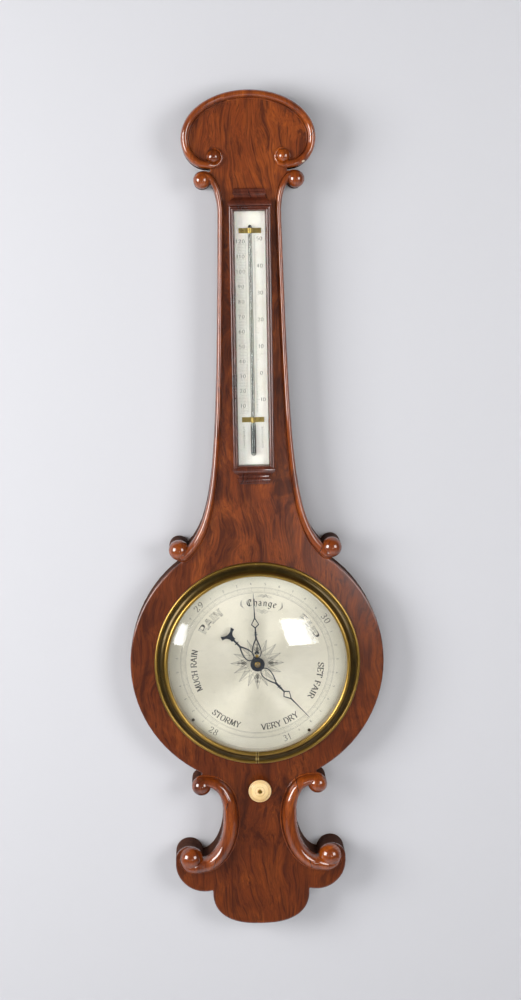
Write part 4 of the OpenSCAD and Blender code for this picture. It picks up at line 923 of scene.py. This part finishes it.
# Each glyph is its width and its strokes, on a body 10 high. A stroke with ~ is a curve.
CAPS = {
    "A": (9, "0 0 4.5 10|4.5 10 9 0|1.8 3.4 7.2 3.4"),
    "C": (8.6, "~8 7.6 6.9 9.3 4.8 10 2.2 9 .8 6.8 .5 5 .8 3.2 2.2 1 4.8 0 7 .7 8.3 2.6|8.1 9.8 8.1 7.4"),
    "D": (9, "1.2 0 1.2 10|~1.2 10 4.6 10 7.4 8.6 8.6 5 7.4 1.4 4.6 0 1.2 0"),
    "E": (7.6, "1.2 0 1.2 10|1 10 7 10|1.2 5.1 5.4 5.1|1 0 7.2 0|7 10 7 8|5.4 5.9 5.4 4.3|7.2 0 7.3 2.2"),
    "F": (7.4, "1.2 0 1.2 10|1 10 7 10|1.2 5.1 5.4 5.1|7 10 7 8|5.4 5.9 5.4 4.3"),
    "G": (9, "~8 7.6 6.9 9.3 4.8 10 2.2 9 .8 6.8 .5 5 .8 3.2 2.2 1 4.8 0 7 .6 8 1.6|8 1.4 8 4.6|8.1 9.8 8.1 7.4"),
    "H": (9.2, "1.2 0 1.2 10|8 0 8 10|1.2 5 8 5"),
    "I": (3.4, "1.7 0 1.7 10"),
    "M": (11, "1 0 1.5 10|1.5 10 5.5 .6|5.5 .6 9.5 10|9.6 10 10 0"),
    "N": (9.2, "1.1 0 1.1 10|1.1 10 8 0|8 0 8 10"),
    "O": (9.4, "~4.7 10 2 9 .6 5 2 1 4.7 0 7.4 1 8.8 5 7.4 9 4.7 10"),
    "R": (9, "1.2 0 1.2 10|~1.2 10 5 10 7.2 9.2 7.6 7.6 7 6 5 5.1 1.2 5|4.2 5.1 8.6 0"),
    "S": (7.6, "~6.6 8 5.8 9.4 4 10 1.9 9.3 1.1 7.6 2 6 4.4 4.8 6.4 3.6 6.9 2.2 6 .6 3.9 0 1.6 .6 .8 2.2"
               "|6.8 9.8 6.7 7.5|.7 .3 .6 2.7"),
    "T": (8.4, "4.2 0 4.2 10|.2 10 8.2 10|.3 10 .2 7.8|8.1 10 8.2 7.8"),
    "U": (9.2, "~1.2 10 1.2 4 1.9 1.3 4.5 0 7 1.2 7.8 4 7.8 10|.2 10 2.4 10|6.9 10 8.8 10"),
    "V": (9, "0 10 4.5 0|4.5 0 9 10"),
    "Y": (8.8, "0 10 4.4 4.8|4.4 4.8 8.8 10|4.4 4.8 4.4 0"),
    "0": (6.8, "~3.4 10 1.4 8.8 .6 5 1.4 1.2 3.4 0 5.4 1.2 6.2 5 5.4 8.8 3.4 10"),
    "1": (4, "2.1 0 2.1 10|2.1 10 .8 8.4"),
    "2": (6.6, "~.9 7.6 1.4 9.3 3.2 10 5.2 9.2 5.7 7.4 4.6 5 2.5 2.4 .6 .3|.6 .2 6 .2|6 .2 6.2 2"),
    "3": (6.4, "~.9 8.6 2.8 10 4.9 9.2 5.3 7.6 4.4 6 2.4 5.3|~2.4 5.3 4.8 4.6 5.8 2.8 4.9 .8 2.8 0 .8 1"),
    "4": (6.8, "4.6 0 4.6 10|4.6 10 .3 3|.3 3 6.6 3"),
    "5": (6.4, "1.4 10 5.6 10|1.4 10 1.1 5.6|~1.1 5.6 3 6.4 5 5.6 5.9 3.4 5 1 2.8 0 .7 .9"),
    "6": (6.6, "~5.3 9.6 3 8.4 1.2 5.6 .7 3.2 1.5 .8 3.3 0 5.1 .8 5.9 3 5.1 5 3.3 5.8 1.6 4.9 .8 3.3"),
    "7": (6.4, ".5 10 6 10|.5 10 .4 8.4|~6 10 4.4 6.8 2.9 3 2.6 0"),
    "8": (6.6, "~3.3 5.3 1.5 6.4 1 7.8 1.8 9.4 3.3 10 4.8 9.4 5.6 7.8 5 6.4 3.3 5.3 1.3 4 .6 2.4 1.4 .7 3.3 0 5.2"
               " .7 6 2.4 5.3 4 3.3 5.3"),
    "9": (6.6, "~1.3 .4 3.6 1.6 5.4 4.4 5.9 6.8 5.1 9.2 3.3 10 1.5 9.2 .7 7 1.5 5 3.3 4.2 5 5.1 5.8 6.7"),
    "-": (5, ".6 4.6 4.4 4.6"),
    " ": (4.4, ""),
}
BROAD = {
    "C": (8.2, "~7.2 8.4 5 9.8 2.2 8.6 1 5.4 1.8 2 4.6 .2 7.6 1.8|~4.4 9.4 3.6 6 4.4 1|~6.2 9 6 7.4 6.6 6.2"),
    "h": (6, "1.6 10.4 1.6 .9|1 1.2 2.2 .2|~1.6 5.2 3.4 6.5 4.9 5.2 4.9 1.4 3.4 -1.8"),
    "a": (5.6, "~.8 5.2 2 6.4 3.9 5.5|3.9 5.5 3.9 1|3.5 .9 4.9 .2|~3.8 3.6 1.7 3.2 .9 1.7 2.1 .2 3.8 1.2"),
    "n": (6.2, ".8 5.8 1.7 6.4|1.5 6 1.5 .8|1 .9 2.2 .2|~1.6 5.2 3.2 6.4 4.5 5.4|4.5 5.6 4.5 .8|4.1 .9 5.4 .2"),
    "g": (5.8, "~4.4 5.8 2.4 6.3 1.1 5 1.1 2 2.6 .4 4.5 1.4|4.5 6.4 4.5 -1.6|~4.5 -1.4 2.8 -3 .8 -2.2"),
    "e": (5.2, "~1.4 3.1 3.9 4.6 3.7 5.9 2.2 6.3 1.1 4.6 1.3 1.6 2.8 .2 4.6 1.5"),
}


def read_strokes(text):
    """The strokes of a glyph as (is a curve, points)."""
    out = []
    for part in filter(None, text.split("|")):
        curve = part.startswith("~")
        numbers = [float(v) for v in part.lstrip("~").split()]
        points = [list(p) for p in zip(numbers[::2], numbers[1::2])]
        out.append((curve, smooth_path(points) if curve else points))
    return out


def flat(x, y):
    return x, y


def ribbon(bm, points, widths, depth, place=flat):
    """A closed flat strip along points; place() lays (x, y) on the surface."""
    d0, d1 = depth
    if isinstance(widths, (int, float)):
        widths = [widths] * len(points)
    rings = []
    for i, (x, y) in enumerate(points):
        hx, hy = heading(points, i)
        w = widths[i] / 2
        a, b = place(x - hy * w, y + hx * w), place(x + hy * w, y - hx * w)
        rings.append([bm.verts.new(at(*p, d)) for p, d in ((a, d0), (a, d1), (b, d1), (b, d0))])
    sweep(bm, rings)


def pen_width(points, i, thick, thin, nib):
    hx, hy = heading(points, i)
    return thin + (thick - thin) * abs(hx * math.sin(nib) - hy * math.cos(nib))


def text_width(text, font, gap):
    return sum(font[c][0] for c in text) + gap * (len(text) - 1)


def write(bm, text, place, height, depth, thick=1.5, thin=0.45, font=CAPS, gap=1.4, span=None,
          serifs=True, nib=12, hatch=0.0):
    """Letters in mm, centred on the origin of place(x, y), baseline at y = 0.

    Glyphs are 10 high. A span squeezes or spaces them; hatch shades the thick strokes.
    """
    k = height / 10
    natural = text_width(text, font, gap) * k
    squeeze = min(span / natural, 1.0) if span else 1.0
    if span and span > natural:
        gap += (span - natural) / k / max(len(text) - 1, 1)
    x0 = -text_width(text, font, gap) * k / 2
    nib = math.radians(nib)

    def lay(x, y):
        return place(x * squeeze, y)

    for c in text:
        width, strokes = font[c]
        for curve, pts in read_strokes(strokes):
            widths = [pen_width(pts, i, thick, thin, nib) * k for i in range(len(pts))]
            rows = [[x0 + x * k, y * k] for x, y in pts]
            main = sum(widths) / len(widths) > (thick * 0.75 + thin * 0.25) * k
            if hatch and main and not curve:
                shade(bm, rows, widths[0], lay, depth, hatch)
            else:
                ribbon(bm, rows, widths, depth, lay)
            (ax, ay), (bx, by) = pts[0], pts[-1]
            upright = abs(by - ay) > 3 and abs(by - ay) > abs(bx - ax) * 0.8
            if not (serifs and upright) or curve:
                continue
            for x, y in (pts[0], pts[-1]):
                if min(abs(y), abs(y - 10)) < 0.05:
                    reach = thick * 0.5 + 0.75
                    bar = [[x0 + (x + side * reach) * k, y * k] for side in (-1, 1)]
                    ribbon(bm, bar, thin * 0.8 * k, depth, lay)
        x0 += (width + gap) * k


def shade(bm, ends, width, place, depth, pitch):
    """A thick straight stroke as an outline filled with fine cross lines."""
    outline, fine = 0.16, 0.15
    (ax, ay), (bx, by) = ends
    length = math.hypot(bx - ax, by - ay)
    hx, hy = (bx - ax) / length, (by - ay) / length
    w = width / 2
    for s in (-w, w):
        line = [[ax - hy * s, ay + hx * s], [bx - hy * s, by + hx * s]]
        ribbon(bm, line, outline, depth, place)
    count = max(int(length / pitch), 1)
    for t in (i / count * length for i in range(count + 1)):
        line = [[ax + hx * t - hy * s, ay + hy * t + hx * s] for s in (w, -w)]
        ribbon(bm, line, fine, depth, place)


def on_dial(r, clock, outward=True):
    """Lays text round the dial at clock degrees, its feet on radius r."""
    def place(x, y):
        turn = math.radians(clock) + (x if outward else -x) / r
        rr = r + y if outward else r - y
        return rr * math.sin(turn), DIAL_U + rr * math.cos(turn)
    return place


def polar(r, clock):
    a = math.radians(clock)
    return r * math.sin(a), DIAL_U + r * math.cos(a)


# ------------------------------------------------------------------ engraving

# Wax stands a hair proud of the surface it fills
SUNK, PROUD = 0.05, 0.03
DIAL_INK = (DIAL_FRONT - SUNK, DIAL_FRONT + PROUD)
SCALE_INK = (SCALE_FRONT - SUNK, SCALE_FRONT + PROUD)
DEG_PER_INCH, MID_INCHES, MID_CLOCK = 102.1, 29.5, 6.5
SCALE_R = 84.1


def clock_of(inches):
    return MID_CLOCK + (inches - MID_INCHES) * DEG_PER_INCH


def dial_circle(bm, r, width, segments=256):
    (d0, d1), half = DIAL_INK, width / 2
    lathe(bm, [(r - half, d0), (r - half, d1), (r + half, d1), (r + half, d0)], 0, DIAL_U, segments)


def engraved(name, bm, look, slot_name="silvered_brass"):
    finish_mesh(name, bm, "case", look, slot_name, smooth=30)


def inch_scale():
    bm = bmesh.new()
    for r, w in ((89.2, 0.22), (88.2, 0.12), (SCALE_R, 0.12), (83.0, 0.26), (102.6, 0.2)):
        dial_circle(bm, r, w)
    for i in range(301):
        a = clock_of(28 + i / 100)
        tall, w = (5.6, 0.2) if i % 10 == 0 else (4.1, 0.13) if i % 5 == 0 else (2.6, 0.08)
        ribbon(bm, [polar(SCALE_R, a), polar(SCALE_R + tall, a)], w, DIAL_INK)
    for i in range(31):
        if i % 10:
            write(bm, str(i % 10), on_dial(92.2, clock_of(28 + i / 10)), 2.5, DIAL_INK, 1.6, 0.6,
                  serifs=False)
    for inches, r, outward in ((28, 99.0, False), (31, 99.0, False), (29, 91.4, True),
                               (30, 91.4, True)):
        write(bm, str(inches), on_dial(r, clock_of(inches), outward), 7, DIAL_INK, 1.5, 0.6,
              gap=2.6)
    engraved("dial_scale_engraving", bm, "faint_ink")


# Weather words: feet's radius, clock, reads outward, height, span
PLAIN_WORDS = {"STORMY": (79.8, -150.5, False, 6.8, 37), "VERY DRY": (79.8, 160.5, False, 6.8, 47),
               "MUCH RAIN": (70.6, -96, True, 6.6, 47), "SET FAIR": (70.6, 108, True, 6.6, 42)}
SHADED_WORDS = {"RAIN": (69.4, -46.5, True, 9.2, 30), "FAIR": (69.4, 55.5, True, 9.2, 29)}


def swelling(count, thin, swell):
    """Widths of a flourish that swells in its middle."""
    half = (count - 1) / 2
    return [thin + swell * (1 - abs(-1 + i / half)) for i in range(count)]


def weather_words():
    bm = bmesh.new()
    for word, (r, clock, outward, height, span) in PLAIN_WORDS.items():
        write(bm, word, on_dial(r, clock, outward), height, DIAL_INK, 2.3, 0.55, span=span, gap=1.6)
    for word, (r, clock, outward, height, span) in SHADED_WORDS.items():
        write(bm, word, on_dial(r, clock, outward), height, DIAL_INK, 3.0, 0.4, span=span,
              hatch=0.62, gap=1.8)
    write(bm, "Change", on_dial(67.8, 5), 7.8, DIAL_INK, 1.75, 0.3, BROAD, gap=1.2, serifs=False,
          nib=42)
    for side in (-1, 1):
        for out in (23.6, 24.6):
            pts = [on_dial(71.4, 5)(side * (out - 2.4 * t * t), 5.2 * t)
                   for t in (-1 + i / 6 for i in range(13))]
            ribbon(bm, pts, swelling(13, 0.12, 0.5), DIAL_INK)
    for r, half, pitch in ((62.6, 9.5, 1.5), (78.4, 10.5, -1.1)):
        for j in range(3):
            span = half * (1 - 0.22 * j)
            lay = on_dial(r - pitch * j, 7)
            pts = [lay(span * t, 0.9 * math.sin(3 * math.pi * t) * (1 - abs(t)))
                   for t in (-1 + i / 12 for i in range(25))]
            ribbon(bm, pts, swelling(25, 0.1, 0.32), DIAL_INK)
    engraved("dial_word_engraving", bm, "ink")


def dial_star():
    """A star of 16 points, each outlined and hatched on one half, with fleurs in the middle."""
    line, hatches = 0.26, 22
    bm = bmesh.new()
    for i in range(16):
        a = 22.5 * i
        tip, root, mid, half = (31, 12.4, 18.0, 3.9) if i % 2 == 0 else (29.5, 13.2, 18.5, 3.3)
        spread = math.degrees(half / mid)
        p_tip, p_root = polar(tip, a), polar(root, a)
        left, right = polar(mid, a - spread), polar(mid, a + spread)
        for side in (left, right):
            ribbon(bm, [p_root, side], line, DIAL_INK)
            ribbon(bm, [side, p_tip], line, DIAL_INK)
        ribbon(bm, [p_root, p_tip], line, DIAL_INK)
        turn = (mid - root) / (tip - root)
        for t in (j / hatches for j in range(1, hatches)):
            share = t / turn if t < turn else (1 - t) / (1 - turn)
            s = [p_root[n] + (p_tip[n] - p_root[n]) * t for n in (0, 1)]
            e = [s[n] + (right[n] - p_root[n] - (p_tip[n] - p_root[n]) * turn) * share
                 for n in (0, 1)]
            ribbon(bm, [s, e], line, DIAL_INK)
    for clock in range(0, 360, 90):
        fleur(bm, 15.4, clock, 2.6)
        fleur(bm, 21.6, clock, 1.3)
    for r, w in ((12.2, 0.25), (10.8, 0.12)):
        dial_circle(bm, r, w, 96)
    engraved("dial_star_engraving", bm, "faint_ink")


def fleur(bm, r, clock, size):
    """A pointed leaf with a curl on each side and a bar under it."""
    a = math.radians(clock)
    ox, ou = polar(r, clock)

    def spot(x, y):
        x, y = x * size, y * size
        return [ox + x * math.cos(a) + y * math.sin(a), ou - x * math.sin(a) + y * math.cos(a)]

    leaf = [(0, 2.0), (0.7, 0.6), (0.35, -0.6), (-0.35, -0.6), (-0.7, 0.6)]
    prism(bm, [spot(x, y) for x, y in leaf], *DIAL_INK)
    for s in (-1, 1):
        side = [[0.3 * s, -0.7], [1.1 * s, 0.1], [1.5 * s, 1.0], [1.0 * s, 1.2], [0.9 * s, 0.7]]
        pts = [spot(x, y) for x, y in smooth_path(side)]
        ribbon(bm, pts, [0.3 * size * (1 - 0.6 * i / len(pts)) for i in range(len(pts))], DIAL_INK)
    ribbon(bm, [spot(-0.8, -0.85), spot(0.8, -0.85)], 0.22 * size, DIAL_INK)


def scale_engraving():
    """Fahrenheit on the left and centigrade on the right of the tube."""
    f_top, f_degree, c_top, c_degree = -141.3, 1.679, -138.4, 3.01
    f_x, c_x, line_top, line_foot, line = 5.2, 4.4, -134, -334, 0.16
    bm = bmesh.new()

    def beside(x0, u):
        return lambda x, y: (x0 + x, u - 2 + y)

    for x in (-f_x, c_x, f_x):
        ribbon(bm, [[x, line_top], [x, line_foot]], 0.12, SCALE_INK)
    for i in range(116):
        u = f_top - i * f_degree
        near = abs(i - 10 * round(i / 10)) * f_degree
        outer = -6.4 if near < 3.2 else -15.4 if i % 5 == 0 else -14
        ribbon(bm, [[-f_x, u], [outer, u]], line, SCALE_INK)
        if i % 10 == 0:
            write(bm, str(120 - i), beside(-11.0, u), 4.0, SCALE_INK, 1.5, 0.6, gap=3.4,
                  serifs=False)
    for i in range(65):
        u = c_top - i * c_degree
        ribbon(bm, [[c_x, u], [8.2 if i % 10 == 5 else 6.2, u]], line, SCALE_INK)
        if i % 10 == 0:
            write(bm, str(50 - i), beside(10.4, u), 4.0, SCALE_INK, 1.5, 0.6, gap=2.4,
                  serifs=False)
    for text, x0 in (("FAHRENHEIT", -10.4), ("CENTIGRADE", 10.4)):
        write(bm, text, lambda x, y: (x0 - y + 1, -362 + x), 1.9, SCALE_INK, 1.6, 0.6, span=24,
              serifs=False)
    engraved("thermometer_engraving", bm, "scale_ink", "bone")


veneer()
thermometer_box()
dial()
bezel()
knob()
hub_nut()
inch_scale()
weather_words()
dial_star()
scale_engraving()
# The siphon tube's two mercury levels, and the feet of the columns that stretch
OPEN_LEVEL, TOP_LEVEL, OPEN_FOOT, LONG_FOOT = -854.256, -72.444, -889, -199.4
LONG_LIMB_X, PULLEY_R, TUBE_D, WEIGHT_D = -18, 7.1269, 10.8, 13.4
FLOAT_TOP, WEIGHT_TOP = OPEN_LEVEL + 14, DIAL_U - 72
thread("float_silk", PULLEY_R, TUBE_D, FLOAT_TOP - 0.5, DIAL_U, "float_thread",
       FLOAT_TOP + 1)
thread("counterweight_silk", -PULLEY_R, WEIGHT_D, WEIGHT_TOP - 0.5, DIAL_U,
       "counterweight_thread", WEIGHT_TOP + 1)
column("open_mercury", PULLEY_R, TUBE_D, OPEN_FOOT, OPEN_LEVEL, "mercury_open")
column("long_mercury", LONG_LIMB_X, TUBE_D, LONG_FOOT, TOP_LEVEL, "mercury_top")


# ------------------------------------------------------------------ CAD nodes that keep their shape

DRESSED = {
    "pine": "case_body back_door tube_blocks",
    "clip_brass": "thermometer_clips",
    "brass": "scale_pins dial_bush glass_ring bezel_pin movement_cock tube_straps hanging_plate"
             " hinge_plates rod_brackets knob_bush pulley_wheel set_hand_pipe set_hand_wheel"
             " set_rod rod_pinions knob_spindle knob_wheel door_hinge_leaves turn_button",
    "blued_steel": "indicator_hand set_hand",
    "dark_brass": "dial_screws",
    "steel": "cock_screws hanging_screws hinge_pins button_screw indicator_arbor",
    "scale_bone": "thermometer_scale",
    "dome": "bezel_glass",
    "pane": "thermometer_glass",
    "stem": "thermometer_tube",
    "tube": "siphon_tube counterweight_tube float counterweight",
    "mercury": "mercury_column",
    "thin_mercury": "thermometer_mercury",
    "silk": "pulley_thread",
}
for look_name, names in DRESSED.items():
    for node_name in names.split():
        NODES[node_name].data.materials.clear()
        NODES[node_name].data.materials.append(LOOKS[look_name].material)


def case_sides():
    """The outer walls of the case take a darker, duller wood than the face; the back and the channel are bare
    pine.
    """
    channel_half_w, channel_top, channel_foot = 28, -35, -921
    mesh = NODES["case_body"].data
    mesh.materials.append(LOOKS["case_side"].material)
    for f in mesh.polygons:
        c = f.center / MM
        inside = abs(c.x) < channel_half_w and channel_foot < c.z < channel_top
        if abs(f.normal.y) < 0.6 and not inside:
            f.material_index = 1


case_sides()


# ------------------------------------------------------------------ stage, light and camera

ROOM_X, ROOM_FRONT, ROOM_BACK, FLOOR_Z, CEILING_Z = 4, -3, 4, -2.4, 3
# The wall stands this far behind the case, and its opening this far inside the case's outline
WALL_GAP, OPENING_INSET = 0.8, 1.2
AIM = (0, 0, -0.5)


def stage_sheet(name, corners, look):
    bm = bmesh.new()
    bm.faces.new([bm.verts.new(Vector(c)) for c in corners])
    obj = add_object(name, bm, look.material)
    return obj


def stage_look(name, colour):
    return Look(name, Base_Color=colour, Roughness=0.9)


def pale_to_camera(look, share):
    """Lifts a stage colour where the camera, glass or metal sees it, and lights nothing."""
    seen, mirrored, through = look.rays()
    seen = look.calc("MAXIMUM", look.calc("MAXIMUM", seen, mirrored), through)
    look.set("Emission Color", look.shader.inputs["Base Color"].default_value)
    look.set("Emission Strength", seen * share)
    return look


def one_sided(look):
    """The wall isn't seen from behind, so that back views show the object."""
    behind = look.out("NewGeometry", out="Backfacing")
    look.show(look.out("MixShader", {0: behind, 1: Value(look, look.shader.outputs[0]),
                                     2: look.out("BsdfTransparent")}))
    return look


def hang_wall(look):
    """The wall, with an opening the shape of the case's back, so that light reaches the back."""
    outline = boundary_loops(
        "case_body", lambda f: f.normal.y > 0.9 and f.calc_center_median().y > -0.0001)[0]
    low, high, side = FLOOR_Z / MM, CEILING_Z / MM, ROOM_X / MM
    parts = [[(-side, low), (side, low), (side, high), (-side, high)],
             inset(outline, [OPENING_INSET] * len(outline))]
    bm = bmesh.new()
    for face in fill(bm, parts, [bm.verts.new(at(x, u, -WALL_GAP)) for p in parts for x, u in p]):
        face.normal_update()
        if face.normal.y > 0:
            face.normal_flip()
    add_object("wall", bm, look.material)


def window_look(top, foot):
    """A window pane that is brighter at its foot and fades to the right."""
    g = Look("lamp")
    by_height = g.out("MapRange", {0: g.axis("Z"), 1: -0.99, 2: -0.70, 3: foot, 4: top})
    aside = g.out("MapRange", {0: g.axis("X"), 1: 0.47, 2: 0.66, 3: 1.0, 4: 0.3})
    g.show(g.out("Emission", {"Strength": by_height * aside}))
    g.tree.nodes.remove(g.shader)
    return g


def area_lamp(name, place, size, power, mirrored=True):
    data = bpy.data.lights.new(name, "AREA")
    data.shape = "RECTANGLE"
    data.size, data.size_y = size
    data.energy = power
    obj = bpy.data.objects.new(name, data)
    bpy.context.scene.collection.objects.link(obj)
    obj.location = place
    obj.rotation_euler = (Vector(AIM) - Vector(place)).to_track_quat("-Z", "Y").to_euler()
    obj.visible_glossy = mirrored


def sky():
    """A weak world, pale to the camera and through glass, and in mirrors only behind the wall."""
    world = bpy.data.worlds.new("studio")
    bpy.context.scene.world = world
    world.use_nodes = True
    g = Graph(world.node_tree)
    g.tree.nodes.clear()
    seen, mirrored, through = g.rays()
    behind = mirrored * (g.axis("Y", g.out("TexCoord", out="Generated")) > 0.0)
    seen = g.calc("MAXIMUM", g.calc("MAXIMUM", seen, through), behind)
    soft = g.out("Background", {"Color": (0.97, 0.98, 1.0, 1), "Strength": seen * 0.6 + 0.08})
    g.put(g.node("OutputWorld").inputs[0], soft)


def light():
    sky()
    area_lamp("strip_left", (-1.7, -1.2, -0.1), (1.1, 1.1), 50)
    area_lamp("strip_right", (1.4, -1.7, -0.1), (1.0, 1.1), 25)
    area_lamp("soft_fill", (-0.5, -2.6, -0.7), (1.7, 1.7), 26, mirrored=False)
    area_lamp("rear_fill", (0.9, 2.4, 0.2), (1.7, 1.7), 60)
    glow = window_look(7, 15)
    panes = {
        "window_right": [(0.301, -0.705), (0.599, -0.709), (0.714, -0.989), (0.391, -0.986)],
        "window_left": [(-0.741, -0.743), (-0.661, -0.750), (-0.747, -0.978), (-0.837, -0.962)],
    }
    for name, corners in panes.items():
        stage_sheet(name, [(x, -2.5, z) for x, z in corners], glow).visible_camera = False


def camera():
    """The photograph's view: a little from the right and above, with a slight roll."""
    place, pan, tilt, roll, lens = (-0.0507, -2.0334, -0.1581), 1.65, -7.87, -0.99, 63.47
    data = bpy.data.cameras.new("camera")
    data.sensor_fit = "VERTICAL"
    data.sensor_height = 36
    data.lens = lens
    data.clip_end = 50
    obj = bpy.data.objects.new("camera", data)
    bpy.context.scene.collection.objects.link(obj)
    pan, tilt, roll = (math.radians(a) for a in (pan, tilt, roll))
    ahead = Vector((math.sin(pan) * math.cos(tilt), math.cos(pan) * math.cos(tilt), math.sin(tilt)))
    right = Vector((math.cos(pan), -math.sin(pan), 0))
    up = right.cross(ahead)
    right, up = (right * math.cos(roll) + up * math.sin(roll),
                 up * math.cos(roll) - right * math.sin(roll))
    obj.matrix_world = Matrix((*zip(right, up, -ahead, place), (0, 0, 0, 1)))
    bpy.context.scene.camera = obj


light()
camera()
stage_sheet("floor", [(-ROOM_X, ROOM_FRONT, FLOOR_Z), (ROOM_X, ROOM_FRONT, FLOOR_Z),
                      (ROOM_X, ROOM_BACK, FLOOR_Z), (-ROOM_X, ROOM_BACK, FLOOR_Z)],
            pale_to_camera(stage_look("floor", srgb(205, 205, 208)), 0.5))
hang_wall(one_sided(stage_look("wall", srgb(190, 190, 194))))
bpy.context.scene.view_settings.view_transform = "Standard"
